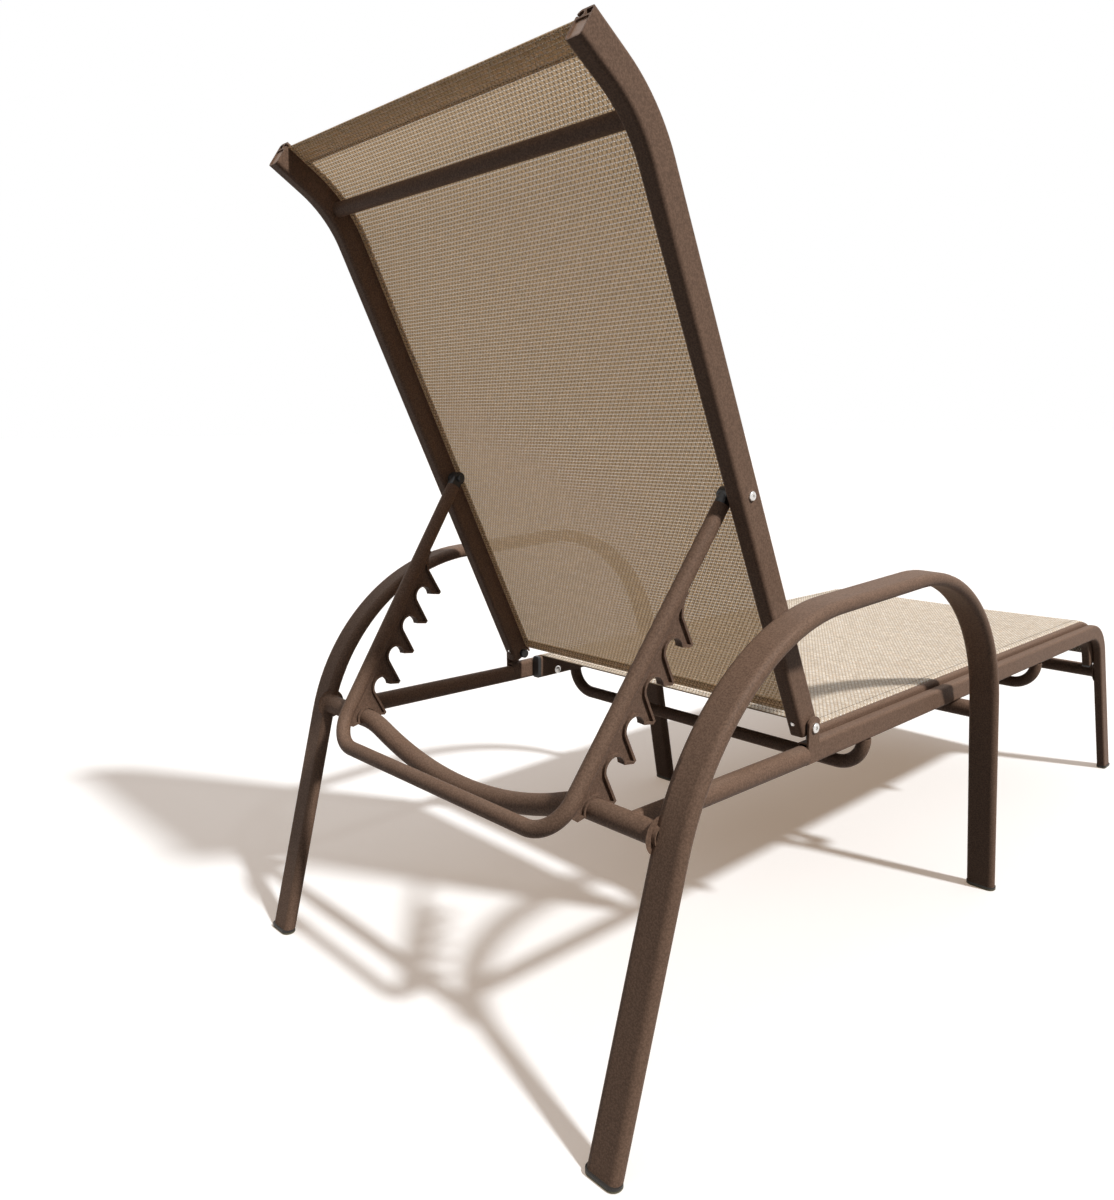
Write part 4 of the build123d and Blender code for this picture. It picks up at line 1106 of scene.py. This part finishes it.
class MakeBackSling(bpy.types.Operator):
    """Stretched back fabric with its hems"""
    bl_idname = "chaise.make_back_sling"
    bl_label = "Make Back Sling"

    def execute(self, context):
        sizes = context.scene.chaise_sizes
        line = back_line()
        # The rear side takes a darker, warmer copy of the same weave: painted shade on the back's
        # rear side.
        weave = [finish_named("Back weave rear side"), finish_named("Back weave")]
        sheet, flat = sling_shell(
            "back_fabric", line, back_profile(), sizes.sling_thickness, -sizes.back_sag, weave)
        run = flat[1]
        level = BACK_LOOP[1] + (sizes.sling_thickness + sizes.hem_thickness) / 2
        outer = BACK_LOOP[0] - BACK_HEM_INSET
        full = (-outer, outer)

        def band_of(span, reach, finish, columns=HEM_COLUMNS):
            return hem_band("back_hem", line, span, reach, level, sizes.hem_thickness,
                            finish_named(finish), columns)

        # The foot hem takes a warmer copy of the weave: painted warm light on the doubled cloth.
        hem = merge_pieces("back_foot_hem", [band_of((0.0, sizes.end_hem), full, "Foot hem weave")])
        # The head and side hems take a darker, warmer copy of the weave: painted shade on the
        # doubled cloth.
        bands = [band_of((run - sizes.head_hem, run), full, "Hem weave")]
        for side in (-1, 1):
            reach = sorted((side * (outer - sizes.side_hem), side * outer))
            span = (sizes.end_hem, run - sizes.head_hem)
            bands.append(band_of(span, reach, "Hem weave", SIDE_HEM_COLUMNS))
        band = merge_pieces("back_head_and_side_hems", bands)
        hang_sling(sheet, [hem, band], "back", "back_sling")
        return {"FINISHED"}


class SewStitches(bpy.types.Operator):
    """Rows of stitches along the hems of both slings"""
    bl_idname = "chaise.sew_stitches"
    bl_label = "Sew Stitches"

    def execute(self, context):
        sizes = context.scene.chaise_sizes
        tree = stitch_tree()
        values = {
            "Pitch": sizes.stitch_pitch,
            "Stitch Length": sizes.stitch_pitch * STITCH_SHARE,
            "Thread Width": sizes.thread_width,
            "Thread": finish_named("Sewing thread"),
        }
        half = sizes.sling_thickness / 2
        sink = sizes.thread_width * THREAD_SINK
        folded = half + sizes.hem_thickness + sink
        inset = sizes.end_hem - SEAM_TO_FOLD

        def sew(name, line, levels, ends, reach, sides):
            """Rows across at the ends' distances and down both sides, at each level."""
            rows = [cross_seam(line, distance, reach, level)
                    for distance in ends for level in levels]
            x, start, side_levels = sides
            span = (start, line_length(line[0])[-1] - start)
            rows += [seam_path(line, span, side * x, level)
                     for side in (-1, 1) for level in side_levels]
            return run_tree(tree, carrier_of(name + "_rows", rows), values, name)

        line = seat_line()
        run = line_length(line[0])[-1]
        levels = (SEAT_SHEET_LIFT + half + sink, SEAT_SHEET_LIFT - folded)
        seat = sew("seat_stitches", line, levels, (inset, run - inset),
                   SEAT_LOOP[0] - SEAT_CROSS_SEAM_INSET,
                   (SEAT_LOOP[0] - SEAT_SIDE_SEAM_INSET, SEAT_SEAM_START, levels[:1]))
        line = back_line()
        run = line_length(line[0])[-1]
        outer = BACK_LOOP[0] - BACK_HEM_INSET
        levels = (BACK_LOOP[1] - half - sink, BACK_LOOP[1] + folded)
        back = sew("back_stitches", line, levels, (inset, run - sizes.head_hem + SEAM_TO_FOLD),
                   outer - BACK_CROSS_SEAM_INSET,
                   (outer - 0.6 * sizes.side_hem, BACK_SEAM_START, levels))
        for piece, body in ((seat, "base"), (back, "back")):
            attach(piece, body)
        return {"FINISHED"}


class SetScrews(bpy.types.Operator):
    """Cross-head screws in the sling rails and the uprights' lower ends"""
    bl_idname = "chaise.set_screws"
    bl_label = "Set Screws"

    def execute(self, context):
        tree = screw_tree()
        steel = finish_named("Bright steel")
        for node, body, name in (
            ("rail_screws", "base", "rail_screw_set"),
            ("upright_tail_screws", "back", "tail_screw_set"),
        ):
            clouds = separate_solids(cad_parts[node])
            outside = node == "upright_tail_screws"
            radius, height, shank, whole = screw_measures(clouds[0], outside)
            screw = pan_head_screw(name + "_pattern", radius, height, shank, whole - height)
            spots, angles = [], []
            for cloud in clouds:
                side = math.copysign(1.0, cloud[:, 0].mean())
                reach = np.abs(cloud[:, 0])
                under_head = reach.max() - height if outside else reach.min() + height
                low, high = cloud.min(0), cloud.max(0)
                spots.append((side * under_head, (low[1] + high[1]) / 2, (low[2] + high[2]) / 2))
                facing = side if outside else -side
                turn = Euler((0.0, facing * math.pi / 2, 0.0)).to_matrix()
                twist = Matrix.Rotation(FIRST_TWIST + NEXT_TWIST * len(spots), 3, "Z")
                angles += (turn @ twist).to_euler()
            carrier = carrier_of(name + "_points", [[spot] for spot in spots])
            store = carrier.data.attributes.new("angles", "FLOAT_VECTOR", "POINT")
            store.data.foreach_set("vector", angles)
            made = run_tree(tree, carrier, {"Screw": screw, "Finish": steel}, name)
            drop(screw)
            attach(made, body)
            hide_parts(node)
        return {"FINISHED"}


def add_sun(name, energy, spread):
    light = bpy.data.lights.new(name, "SUN")
    light.energy = energy
    light.angle = spread
    return add_object(name, light)


def studio_world(fill_strength):
    """White where it is seen, faint where it lights the object."""
    world = bpy.data.worlds.new("Studio")
    world.use_nodes = True
    world.node_tree.nodes.clear()
    w = Wiring(world.node_tree, world)
    fill, shown = (
        w.node("ShaderNodeBackground", values={"Color": solid(colour), "Strength": strength})
        for colour, strength in ((FILL_COLOUR, fill_strength), (WHITE, 1.0)))
    return w.end(w.mixed(w.in_the_picture(), fill, shown), "World")


def photo_camera(studio):
    lens = bpy.data.cameras.new("Camera")
    lens.sensor_width = SENSOR_WIDTH
    lens.lens = studio.lens
    lens.shift_x, lens.shift_y = studio.shift
    lens.clip_end = CAMERA_REACH
    a, e, r = studio.azimuth, studio.elevation, studio.roll
    back = Vector((math.sin(a) * math.cos(e), -math.cos(a) * math.cos(e), math.sin(e)))
    level = Vector((math.cos(a), math.sin(a), 0.0))
    upright = back.cross(level)
    right = level * math.cos(r) + upright * math.sin(r)
    up = upright * math.cos(r) - level * math.sin(r)
    camera = add_object("Camera", lens)
    turn = Matrix((right, up, back)).transposed().to_4x4()
    camera.matrix_world = Matrix.Translation(studio.place) @ turn
    return camera


class SetStudio(bpy.types.Operator):
    """Floor, lights and camera"""
    bl_idname = "chaise.set_studio"
    bl_label = "Set Studio"

    def execute(self, context):
        scene = context.scene
        studio = scene.chaise_studio
        scene.view_settings.view_transform = "Standard"
        corners = [(x * FLOOR_REACH, y * FLOOR_REACH, 0.0)
                   for x, y in ((-1, -1), (1, -1), (1, 1), (-1, 1))]
        finish = studio_floor("Studio floor", studio.floor, studio.shadow)
        floor = make_object("studio_floor", corners, [[0, 1, 2, 3]], [finish])
        if floor.data.polygons[0].normal.z < 0:
            floor.data.flip_normals()
        key = add_sun("Key", studio.sun_strength, studio.sun_spread)
        key.data.color = KEY_COLOUR
        key.rotation_euler = Vector(TOWARD_KEY).to_track_quat("Z", "Y").to_euler()
        add_sun("Top", studio.top_strength, TOP_SPREAD)
        scene.world = studio_world(studio.sky_strength)
        scene.camera = photo_camera(studio)
        return {"FINISHED"}


class ChaisePanel(bpy.types.Panel):
    """Sizes, colours and build steps of the chaise"""
    bl_idname = "VIEW3D_PT_chaise"
    bl_label = "Chaise Lounge"
    bl_space_type = "VIEW_3D"
    bl_region_type = "UI"
    bl_category = "Chaise"

    def draw(self, context):
        layout = self.layout
        scene = context.scene
        for group in (scene.chaise_sizes, scene.chaise_colours, scene.chaise_studio):
            box = layout.box()
            for name in group.__annotations__:
                box.prop(group, name)
        for step in STEPS:
            layout.operator(step.bl_idname)


GROUPS = (ChaiseSizes, ChaiseColours, ChaiseStudio)
STEPS = (
    PaintParts, MixCloth, MakeSeatSling, MakeBackSling, SewStitches, SetScrews, SetStudio,
)


def register():
    for item in (*GROUPS, *STEPS, ChaisePanel):
        bpy.utils.register_class(item)
    bpy.types.Scene.chaise_sizes = bpy.props.PointerProperty(type=ChaiseSizes)
    bpy.types.Scene.chaise_colours = bpy.props.PointerProperty(type=ChaiseColours)
    bpy.types.Scene.chaise_studio = bpy.props.PointerProperty(type=ChaiseStudio)


def unregister():
    del bpy.types.Scene.chaise_studio
    del bpy.types.Scene.chaise_colours
    del bpy.types.Scene.chaise_sizes
    for item in reversed((*GROUPS, *STEPS, ChaisePanel)):
        bpy.utils.unregister_class(item)


def main():
    register()
    for step in STEPS:
        group, name = step.bl_idname.split(".")
        getattr(getattr(bpy.ops, group), name)()


if __name__ == "__main__":
    main()
